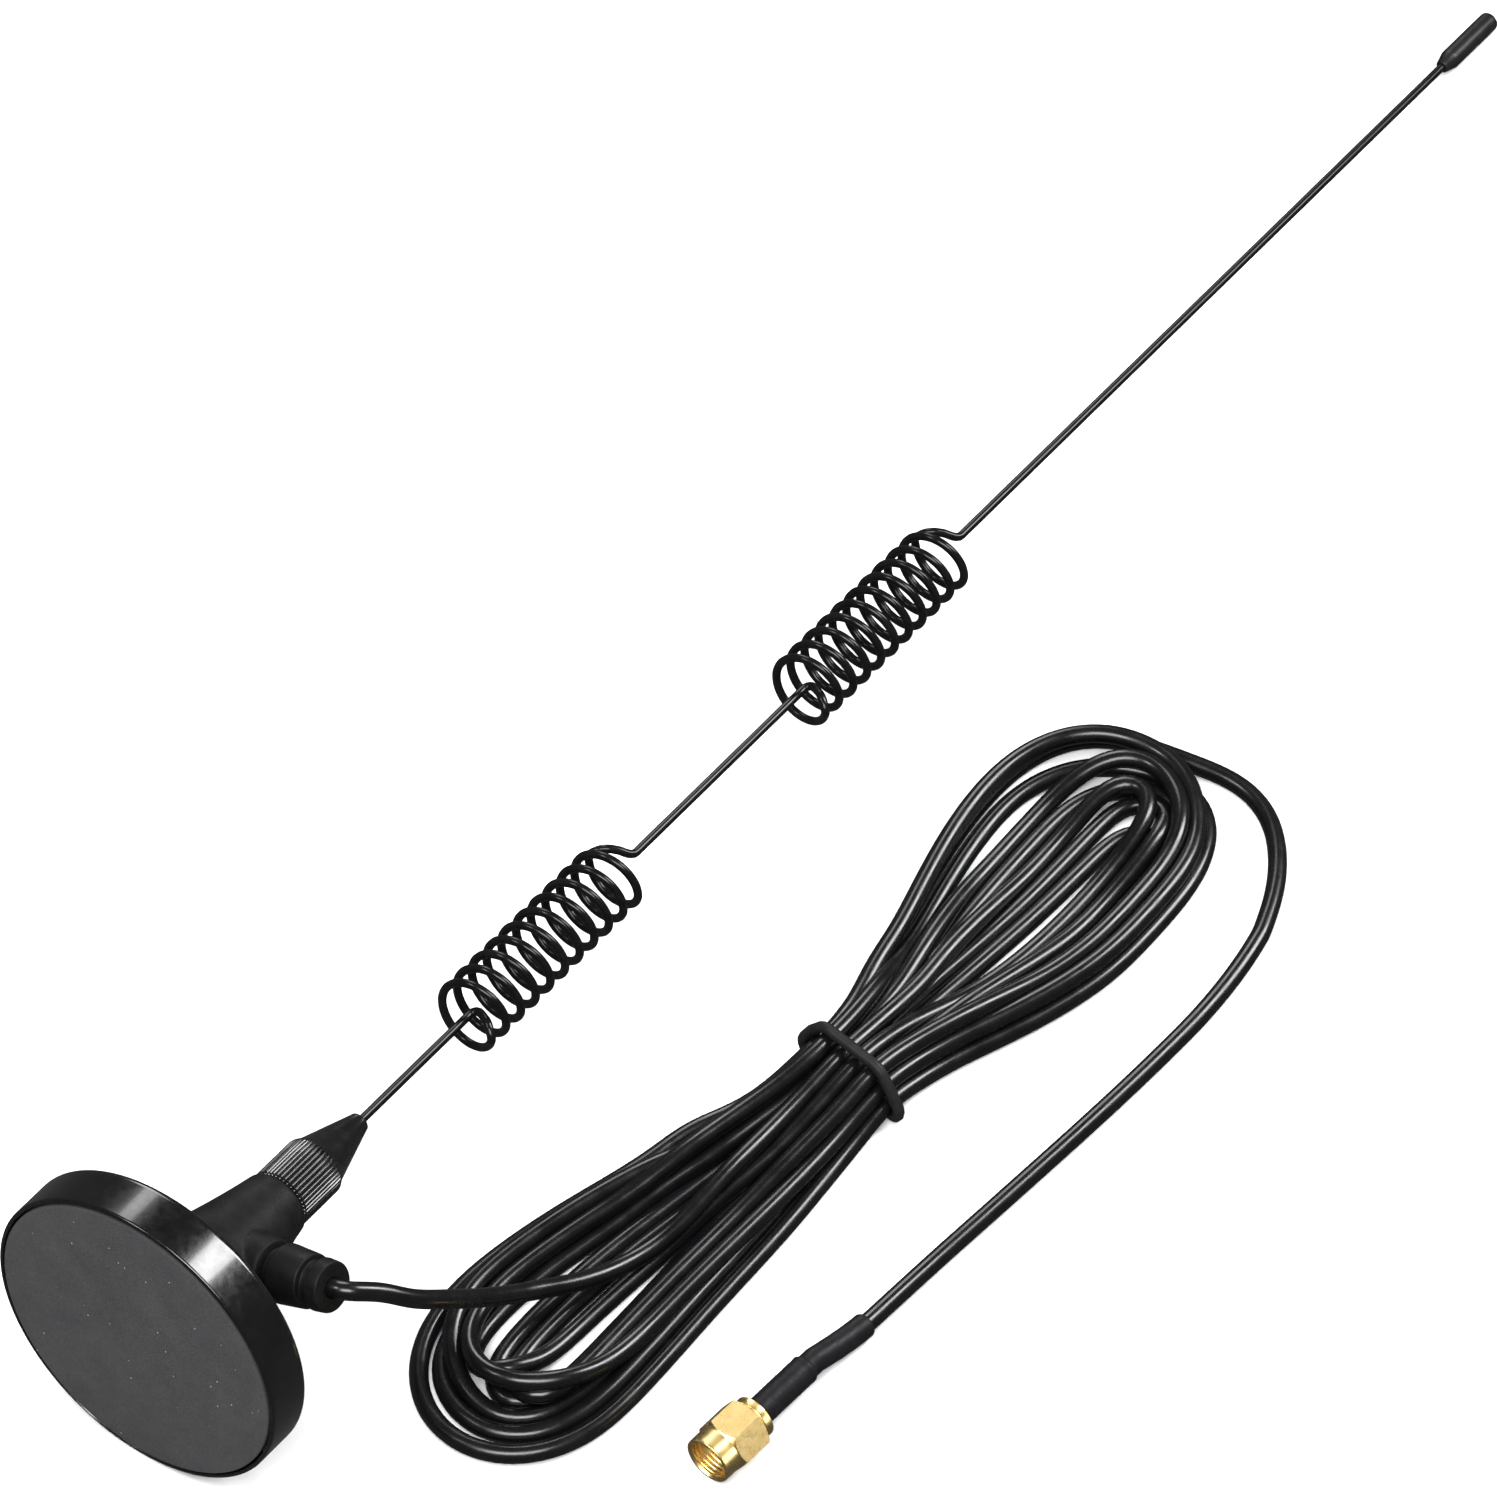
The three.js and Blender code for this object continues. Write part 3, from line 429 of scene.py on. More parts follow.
class Paint:
    """A Principled material whose colour, roughness and bump come from noise in object space."""

    def __init__(self, name, colour, roughness, metallic=0.0, coat=0.0, coat_roughness=0.05,
                 specular=0.5):
        self.material = bpy.data.materials.new(name)
        self.material.use_nodes = True
        self.tree = self.material.node_tree
        self.shader = self.tree.nodes["Principled BSDF"]
        self.place = self.tree.nodes.new("ShaderNodeTexCoord").outputs["Object"]
        self.shader.inputs["Base Color"].default_value = (*colour, 1)
        self.shader.inputs["Roughness"].default_value = roughness
        self.shader.inputs["Metallic"].default_value = metallic
        self.shader.inputs["Coat Weight"].default_value = coat
        self.shader.inputs["Coat Roughness"].default_value = coat_roughness
        self.shader.inputs["Specular IOR Level"].default_value = specular
        self.bumped = None

    def noise(self, size, detail=3.0, roughness=0.55):
        """Noise whose grains are about size millimetres across."""
        node = self.tree.nodes.new("ShaderNodeTexNoise")
        node.inputs["Scale"].default_value = 1 / (size * MM)
        node.inputs["Detail"].default_value = detail
        node.inputs["Roughness"].default_value = roughness
        self.tree.links.new(self.place, node.inputs["Vector"])
        return node.outputs["Fac"]

    def specks(self, size):
        """Distance to scattered points about size millimetres apart."""
        node = self.tree.nodes.new("ShaderNodeTexVoronoi")
        node.inputs["Scale"].default_value = 1 / (size * MM)
        self.tree.links.new(self.place, node.inputs["Vector"])
        return node.outputs["Distance"]

    def ramp(self, value, stops):
        node = self.tree.nodes.new("ShaderNodeValToRGB")
        self.tree.links.new(value, node.inputs["Fac"])
        ramp = node.color_ramp
        while len(ramp.elements) < len(stops):
            ramp.elements.new(0.5)
        for element, (at, colour) in zip(ramp.elements, stops):
            element.position = at
            element.color = (*colour, 1) if isinstance(colour, tuple) else (colour, colour, colour, 1)
        return node.outputs["Color"]

    def spread(self, value, low, high):
        """Maps the middle of a noise's range to low and high."""
        node = self.tree.nodes.new("ShaderNodeMapRange")
        self.tree.links.new(value, node.inputs["Value"])
        for name, number in (("From Min", 0.3), ("From Max", 0.7), ("To Min", low), ("To Max", high)):
            node.inputs[name].default_value = number
        return node.outputs["Result"]

    def mixed(self, factor, first, second, blend="MIX"):
        node = self.tree.nodes.new("ShaderNodeMix")
        node.data_type, node.blend_type = "RGBA", blend
        for name, value in (("Factor", factor), ("A", first), ("B", second)):
            kind = "VALUE" if name == "Factor" else "RGBA"
            socket = next(s for s in node.inputs if s.name == name and s.type == kind)
            if isinstance(value, bpy.types.NodeSocket):
                self.tree.links.new(value, socket)
            elif kind == "VALUE":
                socket.default_value = value
            else:
                socket.default_value = (*value, 1)
        return next(s for s in node.outputs if s.type == "RGBA")

    def colour(self, socket):
        self.tree.links.new(socket, self.shader.inputs["Base Color"])

    def rough(self, socket):
        self.tree.links.new(socket, self.shader.inputs["Roughness"])

    def bump(self, height, depth):
        """Adds a bump of about depth millimetres."""
        node = self.tree.nodes.new("ShaderNodeBump")
        node.inputs["Distance"].default_value = depth * MM
        node.inputs["Strength"].default_value = 1.0
        self.tree.links.new(height, node.inputs["Height"])
        if self.bumped:
            self.tree.links.new(self.bumped, node.inputs["Normal"])
        self.bumped = node.outputs["Normal"]
        self.tree.links.new(self.bumped, self.shader.inputs["Normal"])


def gloss_black_paint():
    p = Paint("gloss_black_paint", (0.005, 0.005, 0.0055), 0.16, coat=0.5, coat_roughness=0.08)
    haze = p.noise(4.0, 4)
    p.colour(p.ramp(haze, ((0.3, (0.0018, 0.0018, 0.002)), (0.75, (0.004, 0.004, 0.0045)))))
    p.rough(p.spread(p.noise(1.3, 5), 0.14, 0.26))
    p.bump(p.noise(0.5, 2), 0.0008)
    return p.material


def pad_rubber():
    p = Paint("pad_rubber", (0.047, 0.047, 0.049), 0.85, specular=0.25)
    base = p.ramp(p.noise(6.0, 5), ((0.3, (0.033, 0.033, 0.0350)), (0.7, (0.042, 0.042, 0.0435))))
    grain = p.ramp(p.noise(0.25, 3), ((0.35, (0.72, 0.72, 0.72)), (0.65, (1.12, 1.12, 1.12))))
    base = p.mixed(0.8, base, grain, "MULTIPLY")
    lint = p.ramp(p.specks(2.6), ((0.03, 1.0), (0.055, 0.0)))
    p.colour(p.mixed(lint, base, (0.30, 0.30, 0.31)))
    p.rough(p.spread(p.noise(0.8, 3), 0.78, 0.95))
    p.bump(p.noise(0.22, 4), 0.02)
    return p.material


def spark_plastic():
    p = Paint("spark_plastic", (0.006, 0.006, 0.0062), 0.5, specular=0.13)
    p.colour(p.ramp(p.noise(3.0, 4), ((0.3, (0.004, 0.004, 0.0045)), (0.7, (0.009, 0.009, 0.0095)))))
    p.rough(p.spread(p.noise(0.4, 3), 0.40, 0.58))
    p.bump(p.noise(0.35, 3, 0.6), 0.03)
    return p.material


def boot_rubber():
    p = Paint("boot_rubber", (0.004, 0.004, 0.0042), 0.5, specular=0.2)
    p.colour(p.ramp(p.noise(2.2, 4), ((0.3, (0.003, 0.003, 0.0032)), (0.75, (0.006, 0.006, 0.0065)))))
    p.rough(p.spread(p.noise(0.6, 3), 0.42, 0.6))
    p.bump(p.noise(0.25, 3), 0.010)
    return p.material


def whip_paint(name, specular, coat):
    p = Paint(name, (0.004, 0.004, 0.0045), 0.18, specular=specular, coat=coat, coat_roughness=0.08)
    p.colour(p.ramp(p.noise(2.5, 4), ((0.3, (0.003, 0.003, 0.0035)), (0.75, (0.006, 0.006, 0.0065)))))
    p.rough(p.spread(p.noise(2.0, 3), 0.13, 0.24))
    p.bump(p.noise(0.6, 2), 0.0006)
    return p.material


def satin_cap():
    p = Paint("satin_cap", (0.006, 0.006, 0.0065), 0.36, specular=0.28)
    p.colour(p.ramp(p.noise(1.5, 4), ((0.3, (0.005, 0.005, 0.0055)), (0.7, (0.009, 0.009, 0.0095)))))
    p.rough(p.spread(p.noise(0.5, 3), 0.30, 0.44))
    p.bump(p.noise(0.25, 3), 0.004)
    return p.material


def cable_jacket():
    p = Paint("cable_jacket", (0.003, 0.003, 0.0035), 0.2, specular=0.55)
    p.colour(p.ramp(p.noise(7.0, 5), ((0.3, (0.002, 0.002, 0.0024)), (0.7, (0.004, 0.004, 0.0045)))))
    p.rough(p.spread(p.noise(3.0, 4), 0.19, 0.30))
    p.bump(p.noise(2.6, 2), 0.003)
    return p.material


def tie_rubber():
    p = Paint("tie_rubber", (0.009, 0.009, 0.0095), 0.5, specular=0.25)
    p.colour(p.ramp(p.noise(1.8, 4), ((0.3, (0.007, 0.007, 0.0075)), (0.7, (0.012, 0.012, 0.0125)))))
    p.rough(p.spread(p.noise(0.5, 3), 0.42, 0.6))
    p.bump(p.noise(0.3, 3), 0.008)
    return p.material


def shrink_sleeve():
    p = Paint("shrink_sleeve", (0.006, 0.0055, 0.0065), 0.42, specular=0.18)
    p.colour(p.ramp(p.noise(2.5, 4), ((0.3, (0.0048, 0.0045, 0.0055)), (0.7, (0.0085, 0.008, 0.009)))))
    p.rough(p.spread(p.noise(0.8, 4), 0.38, 0.52))
    p.bump(p.noise(1.1, 3), 0.010)
    p.bump(p.noise(0.2, 2), 0.003)
    return p.material


def gold_plate():
    p = Paint("gold_plate", (0.83, 0.60, 0.24), 0.16, metallic=1.0)
    p.colour(p.ramp(p.noise(2.0, 4), ((0.3, (0.80, 0.56, 0.21)), (0.7, (0.90, 0.68, 0.30)))))
    p.rough(p.spread(p.noise(1.4, 3), 0.24, 0.33))
    p.bump(p.noise(0.12, 2), 0.0008)
    return p.material


def white_polymer():
    p = Paint("white_polymer", (0.85, 0.84, 0.80), 0.4)
    p.colour(p.ramp(p.noise(1.2, 3), ((0.3, (0.80, 0.79, 0.74)), (0.7, (0.90, 0.89, 0.85)))))
    p.rough(p.spread(p.noise(0.4, 3), 0.32, 0.5))
    p.bump(p.noise(0.2, 3), 0.003)
    return p.material


def red_gasket():
    p = Paint("red_gasket", (0.35, 0.06, 0.03), 0.6)
    p.colour(p.ramp(p.noise(1.0, 3), ((0.3, (0.30, 0.05, 0.025)), (0.7, (0.42, 0.08, 0.04)))))
    p.rough(p.spread(p.noise(0.3, 3), 0.5, 0.7))
    p.bump(p.noise(0.2, 3), 0.004)
    return p.material


def plain_steel():
    p = Paint("plain_steel", (0.56, 0.56, 0.58), 0.3, metallic=1.0)
    p.colour(p.ramp(p.noise(2.0, 4), ((0.3, (0.50, 0.50, 0.52)), (0.7, (0.62, 0.62, 0.64)))))
    p.rough(p.spread(p.noise(0.4, 4), 0.22, 0.42))
    p.bump(p.noise(0.15, 3), 0.002)
    return p.material


def dull_ferrite():
    p = Paint("dull_ferrite", (0.06, 0.06, 0.065), 0.75, metallic=0.2)
    p.colour(p.ramp(p.noise(1.5, 5), ((0.3, (0.045, 0.045, 0.05)), (0.7, (0.08, 0.08, 0.085)))))
    p.rough(p.spread(p.noise(0.5, 4), 0.6, 0.85))
    p.bump(p.noise(0.3, 4), 0.02)
    return p.material


GLOSS, PAD, SPARK, BOOT = gloss_black_paint(), pad_rubber(), spark_plastic(), boot_rubber()
WHIP, CHUCK = whip_paint("whip_paint", 0.22, 0.1), whip_paint("chuck_paint", 0.5, 0.4)
CAP, JACKET, TIE = satin_cap(), cable_jacket(), tie_rubber()
SHRINK, GOLD, WHITE, RED = shrink_sleeve(), gold_plate(), white_polymer(), red_gasket()
STEEL, FERRITE = plain_steel(), dull_ferrite()


def dress(made, material, body, slot, *nodes):
    """Gives a piece its material and body, and lets it stand for its CAD nodes. slot is not used."""
    made.data.materials.clear()
    made.data.materials.append(material)
    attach(made, body)
    if nodes:
        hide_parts(*nodes)
    return made


def repaint(node, material):
    CAD[node].data.materials.clear()
    CAD[node].data.materials.append(material)


for node, material in (
        ("magnet_ring", FERRITE), ("ground_plate", STEEL), ("base_screw", STEEL), ("stem_nut", STEEL),
        ("cable_entry", JACKET), ("solder_lug", STEEL), ("crimp_ferrule", GOLD)):
    repaint(node, material)


# Magnetic base --------------------------------------------------------------------------------

def base_cup():
    inner = CUP_R - CUP_WALL
    profile = arc(CUP_R - 0.4, CUP_LIP + 0.4, 0.4, -90, 0, 5)
    profile += [(CUP_R, z) for z in (CUP_LIP + 0.45, CUP_LIP + 0.6, 2.5, 5, CUP_TOP - CUP_EDGE - 0.2,
                                     CUP_TOP - CUP_EDGE - 0.05)]
    profile += arc(CUP_R - CUP_EDGE, CUP_TOP - CUP_EDGE, CUP_EDGE, 0, 90, 9)
    profile += [(CUP_R - CUP_EDGE - 0.1, CUP_TOP), (CUP_R - CUP_EDGE - 0.4, CUP_TOP), (16, CUP_TOP),
                (8, CUP_TOP), (SCREW_HOLE_R + 0.1, CUP_TOP), (SCREW_HOLE_R, CUP_TOP - 0.1),
                (SCREW_HOLE_R, CUP_TOP - CUP_WALL), (inner - 0.6, CUP_TOP - CUP_WALL)]
    profile += [(inner, CUP_TOP - CUP_WALL - 0.6), (inner, CUP_LIP + 0.15), (inner + 0.12, CUP_LIP)]
    return add_mesh("visual_cup", *revolve(profile, 160), ANTENNA)


def base_pad():
    """The pad: its rim turns in softly, and its face is very slightly domed by the adhesive."""
    profile = [(r, 0.04 * (r / PAD_R) ** 6) for r in (0.4, 4, 8, 12, 16, 19, 21, 22.4)]
    profile += arc(PAD_R - 0.35, 0.40, 0.35, -90, 0, 5)
    profile += [(PAD_R, PAD_THICK)]
    return add_mesh("visual_pad", *revolve_bar(profile, 128), ANTENNA)


dress(base_cup(), GLOSS, "base", "cup_gloss", "base_cup")
dress(base_pad(), PAD, "base", "pad_rubber", "base_pad")


# Stem and strain relief -----------------------------------------------------------------------

def stem_radius(station):
    down = STEM_TOP - station
    return STEM_TOP_R + STEM_SLOPE * down + STEM_FLARE * down * down


def boot_radius(distance):
    return BOOT_END_R + BOOT_TAPER * (BOOT_END - distance)


def apply_modifiers(target):
    bpy.context.view_layer.update()
    evaluated = target.evaluated_get(bpy.context.evaluated_depsgraph_get())
    made = bpy.data.meshes.new_from_object(evaluated)
    target.modifiers.clear()
    target.data = made


def combine(target, other, operation):
    """Boolean of two mesh objects; the second is used up."""
    modifier = target.modifiers.new("combine", "BOOLEAN")
    modifier.operation, modifier.object, modifier.solver = operation, other, "EXACT"
    apply_modifiers(target)
    bpy.data.objects.remove(other)


def stem_housing():
    """The flared stem with its side boss blended in, hollow as the CAD model's."""
    stations = [STEM_FOOT + (STEM_TOP - 0.5 - STEM_FOOT) * i / 24 for i in range(25)]
    profile = [(stem_radius(s), s) for s in stations]
    profile += arc(STEM_TOP_R - 0.45, STEM_TOP - 0.45, 0.45, 10, 90, 5)
    stem = add_mesh("visual_stem", *revolve_bar(profile, 96), ANTENNA)
    boss = add_mesh("boss", *revolve_bar([
        (boot_radius(0), 0), (boot_radius(5), 5), (boot_radius(BOSS_END) - 0.03, BOSS_END - 0.4),
        (boot_radius(BOSS_END) - 0.25, BOSS_END)], 72), BOSS)
    combine(stem, boss, "UNION")
    remesh = stem.modifiers.new("remesh", "REMESH")
    remesh.mode, remesh.voxel_size = "VOXEL", 0.22 * MM
    smooth = stem.modifiers.new("smooth", "SMOOTH")
    smooth.factor, smooth.iterations = 0.5, 9
    apply_modifiers(stem)
    hollow = add_mesh("hollow", *revolve_bar([
        (FOOT_BORE_R, STEM_FOOT - 1), (FOOT_BORE_R, CHAMBER_FOOT), (CHAMBER_R, CHAMBER_FOOT),
        (CHAMBER_R, CHAMBER_TOP), (NECK_BORE_R, CHAMBER_TOP), (NECK_BORE_R, STEM_TOP + 1)], 64), ANTENNA)
    combine(stem, hollow, "DIFFERENCE")
    bore = add_mesh("bore", *revolve_bar([(BOSS_BORE_R, 1), (BOSS_BORE_R, BOSS_END + 1)], 32), BOSS)
    combine(stem, bore, "DIFFERENCE")
    stem.data.polygons.foreach_set("use_smooth", [True] * len(stem.data.polygons))
    stem.data.set_sharp_from_angle(angle=math.radians(50))
    return stem


def strain_relief_boot():
    """A tapered sleeve with two grooves; their edges are slightly rounded."""
    outer = []
    start = BOOT_GROOVES[0][0]
    for low, high in BOOT_GROOVES:
        if low > start:
            outer.append((boot_radius(low), low))
        outer += [(boot_radius(low) - BOOT_GROOVE_DEPTH, low), (boot_radius(high) - BOOT_GROOVE_DEPTH, high),
                  (boot_radius(high), high)]
    outer += [(BOOT_END_R, BOOT_END), (1.5, BOOT_END), (1.5, start)]
    return add_mesh("visual_boot", *revolve(soften(outer, 0.28, 4), 96), BOSS, sharp=60)


dress(stem_housing(), SPARK, "base", "stem_plastic", "stem_housing")
dress(strain_relief_boot(), BOOT, "base", "boot_rubber", "strain_relief_boot")


# Contact, under the whip's chuck ---------------------------------------------------------------

def contact_stud():
    """Gold stud with a turned thread of 0.8 mm pitch, drawn as rings."""
    profile = [(0.9, 21), (1, 21.1), (1, 24.5), (1, 24.6), (2.1, 24.6), (2.1, 33.7), (2.1, 33.75)]
    profile += [(2.4 - 0.22 * (i % 2), 33.9 + 0.4 * i) for i in range(12)]
    profile += [(2.35, 38.6), (1.9, 39)]
    return add_mesh("visual_stud", *revolve_bar(profile, 48), ANTENNA)


def ring_profile(inner, outer, low, high, radius=0.12):
    return soften([(inner, low), (outer, low), (outer, high), (inner, high)], radius, 3)


dress(contact_stud(), GOLD, "base", "gold", "contact_stud")
dress(add_mesh("visual_bush", *revolve(ring_profile(2.4, 3.3, 24.6, 33.2), 64), ANTENNA), WHITE, "base",
      "white_plastic", "insulator_bush")
SEAL = [(3.2 + 0.5 * math.cos(a), 34.2 + 0.5 * math.sin(a)) for a in np.linspace(0, 2 * math.pi, 17)[:-1]]
dress(add_mesh("visual_seal", *revolve(SEAL, 64), ANTENNA), TIE, "seal", "tie_rubber", "seal_ring")


# Whip -----------------------------------------------------------------------------------------

KNURL_TEETH, KNURL_DEPTH, POINTS_PER_TOOTH = 42, 0.38, 10


def whip_chuck():
    """The chuck: straight knurl, whose teeth run out on the chamfer above them, and a long cone."""
    cone = [(CHUCK_CONE_R + (CHUCK_TOP_R - CHUCK_CONE_R) * t,
             CHUCK_CONE_FOOT + (CHUCK_TOP - 0.3 - CHUCK_CONE_FOOT) * t) for t in (0, 0.25, 0.5, 0.75, 1)]
    seat, low = STEM_TOP + 0.05, CHUCK_FOOT + 0.45
    profile = [(4.62, seat), (4.9, seat + 0.12), (CHUCK_R, seat + 0.45), (CHUCK_R, low)]
    profile += [(CHUCK_R, low + (CHUCK_KNURL_TOP - CHUCK_FOOT - 0.45) * t) for t in (0.33, 0.66, 1)]
    profile += [(4.8, CHUCK_KNURL_TOP + 0.37), (4.6, CHUCK_KNURL_TOP + 0.73)]
    profile += cone + arc(CHUCK_TOP_R - 0.25, CHUCK_TOP - 0.25, 0.25, 20, 90, 4)
    profile += [(0.84, CHUCK_TOP), (0.8, CHUCK_TOP - 0.1), (0.8, 40), (2.7, 40), (2.7, 35), (4, 35),
                (4, seat)]

    def knurl(r, z, angle):
        if r < 4.45 or z > CHUCK_CONE_FOOT - 0.01:
            return r
        phase = (angle * KNURL_TEETH / (2 * math.pi)) % 1
        depth = KNURL_DEPTH * min(1, (CHUCK_CONE_FOOT - z) / 1.1)
        return r - depth * (1 - math.sin(math.pi * phase) ** 0.8)

    mesh = revolve(profile, KNURL_TEETH * POINTS_PER_TOOTH, knurl)
    return add_mesh("visual_chuck", *mesh, ANTENNA, sharp=50)


def rod(name, low, high):
    profile = [(WIRE_R - 0.03, low), (WIRE_R, low + 0.03), (WIRE_R, high)]
    return add_mesh(name, *revolve_bar(profile, 24), ANTENNA)


def coil_path(foot, low, high):
    """The wire of a coil from station low below it to station high above it."""
    bend = foot + COIL_ENTRY_RUN
    first = bend - COIL_ENTRY_BACK
    last = first + COIL_TURNS * COIL_PITCH
    leave = last + COIL_EXIT_FORTH

    def at(radius, degrees, station):
        angle = math.radians(degrees)
        return (radius * math.cos(angle), radius * math.sin(angle), station)

    points = [at(0, 0, low), at(0, 0, foot), at(0, 0, bend - 1.6), at(0.05, -25, bend - 0.6),
              at(0.9, -25, bend - 0.05), at(2.4, -22, bend - 0.7), at(3.9, -17, bend - 1.6)]
    per_turn = 24
    for i in range(int(COIL_TURNS * per_turn) + 1):
        points.append(at(COIL_R, 360 * i / per_turn, first + COIL_PITCH * i / per_turn))
    points += [at(3.9, 197, last + 1.3), at(2.2, 203, last + 2.7), at(0.7, 205, leave - 0.4),
               at(0.05, 205, leave + 0.4), at(0, 0, leave + COIL_EXIT_RUN), at(0, 0, high)]
    return evenly(np.array(points), 0.5)


def phasing_coil(name, foot):
    path = coil_path(foot, foot - 0.2, foot + COIL_LENGTH + 0.2)
    return add_mesh(name, *sweep(path, WIRE_R, 14), ANTENNA, sharp=60)


def tip_cap():
    profile = [(0.71, CAP_FOOT + 0.1), (0.85, CAP_FOOT), (CAP_FOOT_R - 0.12, CAP_FOOT),
               (CAP_FOOT_R, CAP_FOOT + 0.12)]
    profile += [(1.52, CAP_SHOULDER - 0.35), (1.6, CAP_SHOULDER - 0.1), (1.645, CAP_SHOULDER + 0.12),
                (CAP_R, CAP_SHOULDER + 0.4), (CAP_R, 343)]
    profile += arc(CAP_R - CAP_EDGE, WHIP_TOP - CAP_EDGE, CAP_EDGE, 0, 90, 8)
    return add_mesh("visual_tip_cap", *revolve_bar(profile, 48), ANTENNA, sharp=50)


def station(distance):
    return tuple((ANTENNA @ Vector((0, 0, distance))) * MM)


dress(whip_chuck(), CHUCK, "whip_lower", "whip_paint", "whip_chuck")
dress(rod("visual_rod_lower", 41, LOWER_COIL_FOOT - 0.1), WHIP, "whip_lower", "whip_paint", "whip_rod_lower")
dress(rod("visual_rod_middle", LOWER_COIL_FOOT + COIL_LENGTH + 0.1, UPPER_COIL_FOOT - 0.1), WHIP,
      "whip_middle", "whip_paint", "whip_rod_middle")
dress(rod("visual_rod_upper", UPPER_COIL_FOOT + COIL_LENGTH + 0.1, 346.5), WHIP, "whip_upper", "whip_paint",
      "whip_rod_upper")
dress(tip_cap(), CAP, "whip_upper", "cap_rubber", "tip_cap")
for piece_name, foot, below, above, node in (
        ("visual_coil_lower", LOWER_COIL_FOOT, "whip_lower", "whip_middle", "lower_coil"),
        ("visual_coil_upper", UPPER_COIL_FOOT, "whip_middle", "whip_upper", "upper_coil")):
    coil = phasing_coil(piece_name, foot)
    coil.data.materials.append(WHIP)
    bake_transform(coil)
    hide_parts(node)


# Tie ring, heat shrink and plug ---------------------------------------------------------------

def tie_ring():
    """A rubber ring stretched round the strands: the outline that just holds them, a little askew."""
    is_near = (np.abs(CABLE_POINTS[:, 1] - RING_Y) < 0.9) & (np.abs(CABLE_POINTS[:, 0] - RING_X) < 12)
    inside = CABLE_POINTS[is_near]
    outline = []
    for turn in np.linspace(0, 2 * math.pi, 73)[:-1]:
        out = np.array([math.cos(turn), math.sin(turn)])
        outermost = inside[np.argmax(inside[:, [0, 2]] @ out)][[0, 2]]
        outline.append(outermost + out * (CABLE_R + TIE_R - 0.1))
    outline = np.array(outline + outline[:1])
    run = np.r_[0, np.cumsum(np.linalg.norm(np.diff(outline, axis=0), axis=1))]
    at = np.linspace(0, run[-1], 65)[:-1]
    x, z = (np.interp(at, run, outline[:, k]) for k in (0, 1))
    path = np.c_[x, RING_Y - RING_SKEW * (x - RING_X), np.maximum(z, TIE_R)]
    return add_mesh("visual_tie_ring", *sweep([tuple(p) for p in path], TIE_R, 20, is_closed=True), sharp=70)


def heat_shrink():
    """Heat-shrink over ferrule and cable: a ridge and a step at the ferrule's end, dots and wrinkles."""
    straight = [PLUG @ Vector((0, 0, -d)) for d in np.arange(0.3, SHRINK_STEP + 1.6, 0.3)]
    bent = [LEAD_ROUTE[-1], LEAD_ROUTE[-2], (72.33, -95.1, 2.1)]
    path = evenly(np.array([list(p) for p in straight] + bent), 0.25)
    run = np.r_[0, np.cumsum(np.linalg.norm(np.diff(path, axis=0), axis=1))]
    length = run[-1]

    def radius(i, angle):
        d = run[i] + 0.3
        size = SHRINK_THICK_R + (SHRINK_THIN_R - SHRINK_THICK_R) * float(ease((d - 10.9) / 0.4))
        ridge = 0.05 * math.exp(-((d - 10.6) / 0.3) ** 2)
        wrinkle = 0.018 * math.sin(3 * angle + 0.9 * d) * math.sin(1.7 * d + 2 * angle)
        dots = 0.0
        if 1.2 < d < 9.8:
            dots = 0.045 * max(0, math.sin(d * 2 * math.pi / 0.9)) * max(0, math.sin(16 * angle))
        end = 0.1 * max(0, 1 - (length - run[i]) / 0.3) ** 2 + 0.1 * max(0, 1 - run[i] / 0.3) ** 2
        return size + ridge + wrinkle + dots - end

    return add_mesh("visual_heat_shrink", *sweep(path, SHRINK_THIN_R, 64, shape=radius), sharp=60)


def hex_radius(angle):
    """Radius of the 8 mm hexagon, whose corners are at 0, 60, 120 degrees and so on."""
    corner = (angle + math.pi / 6) % (math.pi / 3) - math.pi / 6
    return HEX_FLATS / 2 / math.cos(math.pi / 6 - abs(corner))


def coupling_nut():
    corner = HEX_FLATS / math.sqrt(3)
    back_cone = [(corner - 0.7 + 0.8 * t, NUT_BACK + 0.45 * t) for t in np.linspace(0, 1, 9)]
    body = [(corner + 0.1, z) for z in np.linspace(3, HEX_FRONT - 1.4, 6)]
    front_cone = [(corner + 0.1 + (NUT_FRONT_R - corner - 0.1) * t, HEX_FRONT - 0.75 + 0.75 * t)
                  for t in np.linspace(0, 1, 15)]
    front = [(NUT_FRONT_R, z) for z in (8.03, 8.5, 9.5, 10.5)]
    front += arc(NUT_FRONT_R - 0.2, NUT_FRONT - 0.2, 0.2, 0, 90, 4)
    mouth = [(3.4, NUT_FRONT), (3.1, NUT_FRONT - 0.32)]
    thread = []  # drawn as rings
    z = NUT_FRONT - 0.32
    while z > 5.2:
        thread += [(3.28, z - 0.18), (3.28, z - 0.36), (3.1, z - 0.5), (3.1, z - 0.7)]
        z -= 0.705
    inside = [(3.1, 3.15), (3.25, 3.1), (3.25, 2.2), (2.75, 2.2), (2.75, NUT_BACK)]
    profile = back_cone + body + front_cone + front + mouth + thread + inside

    def shape(r, z, angle):
        return min(r, hex_radius(angle)) if r > 3.5 and z < 8.02 else r

    return add_mesh("visual_coupling_nut", *revolve(profile, 240, shape), PLUG, sharp=14)


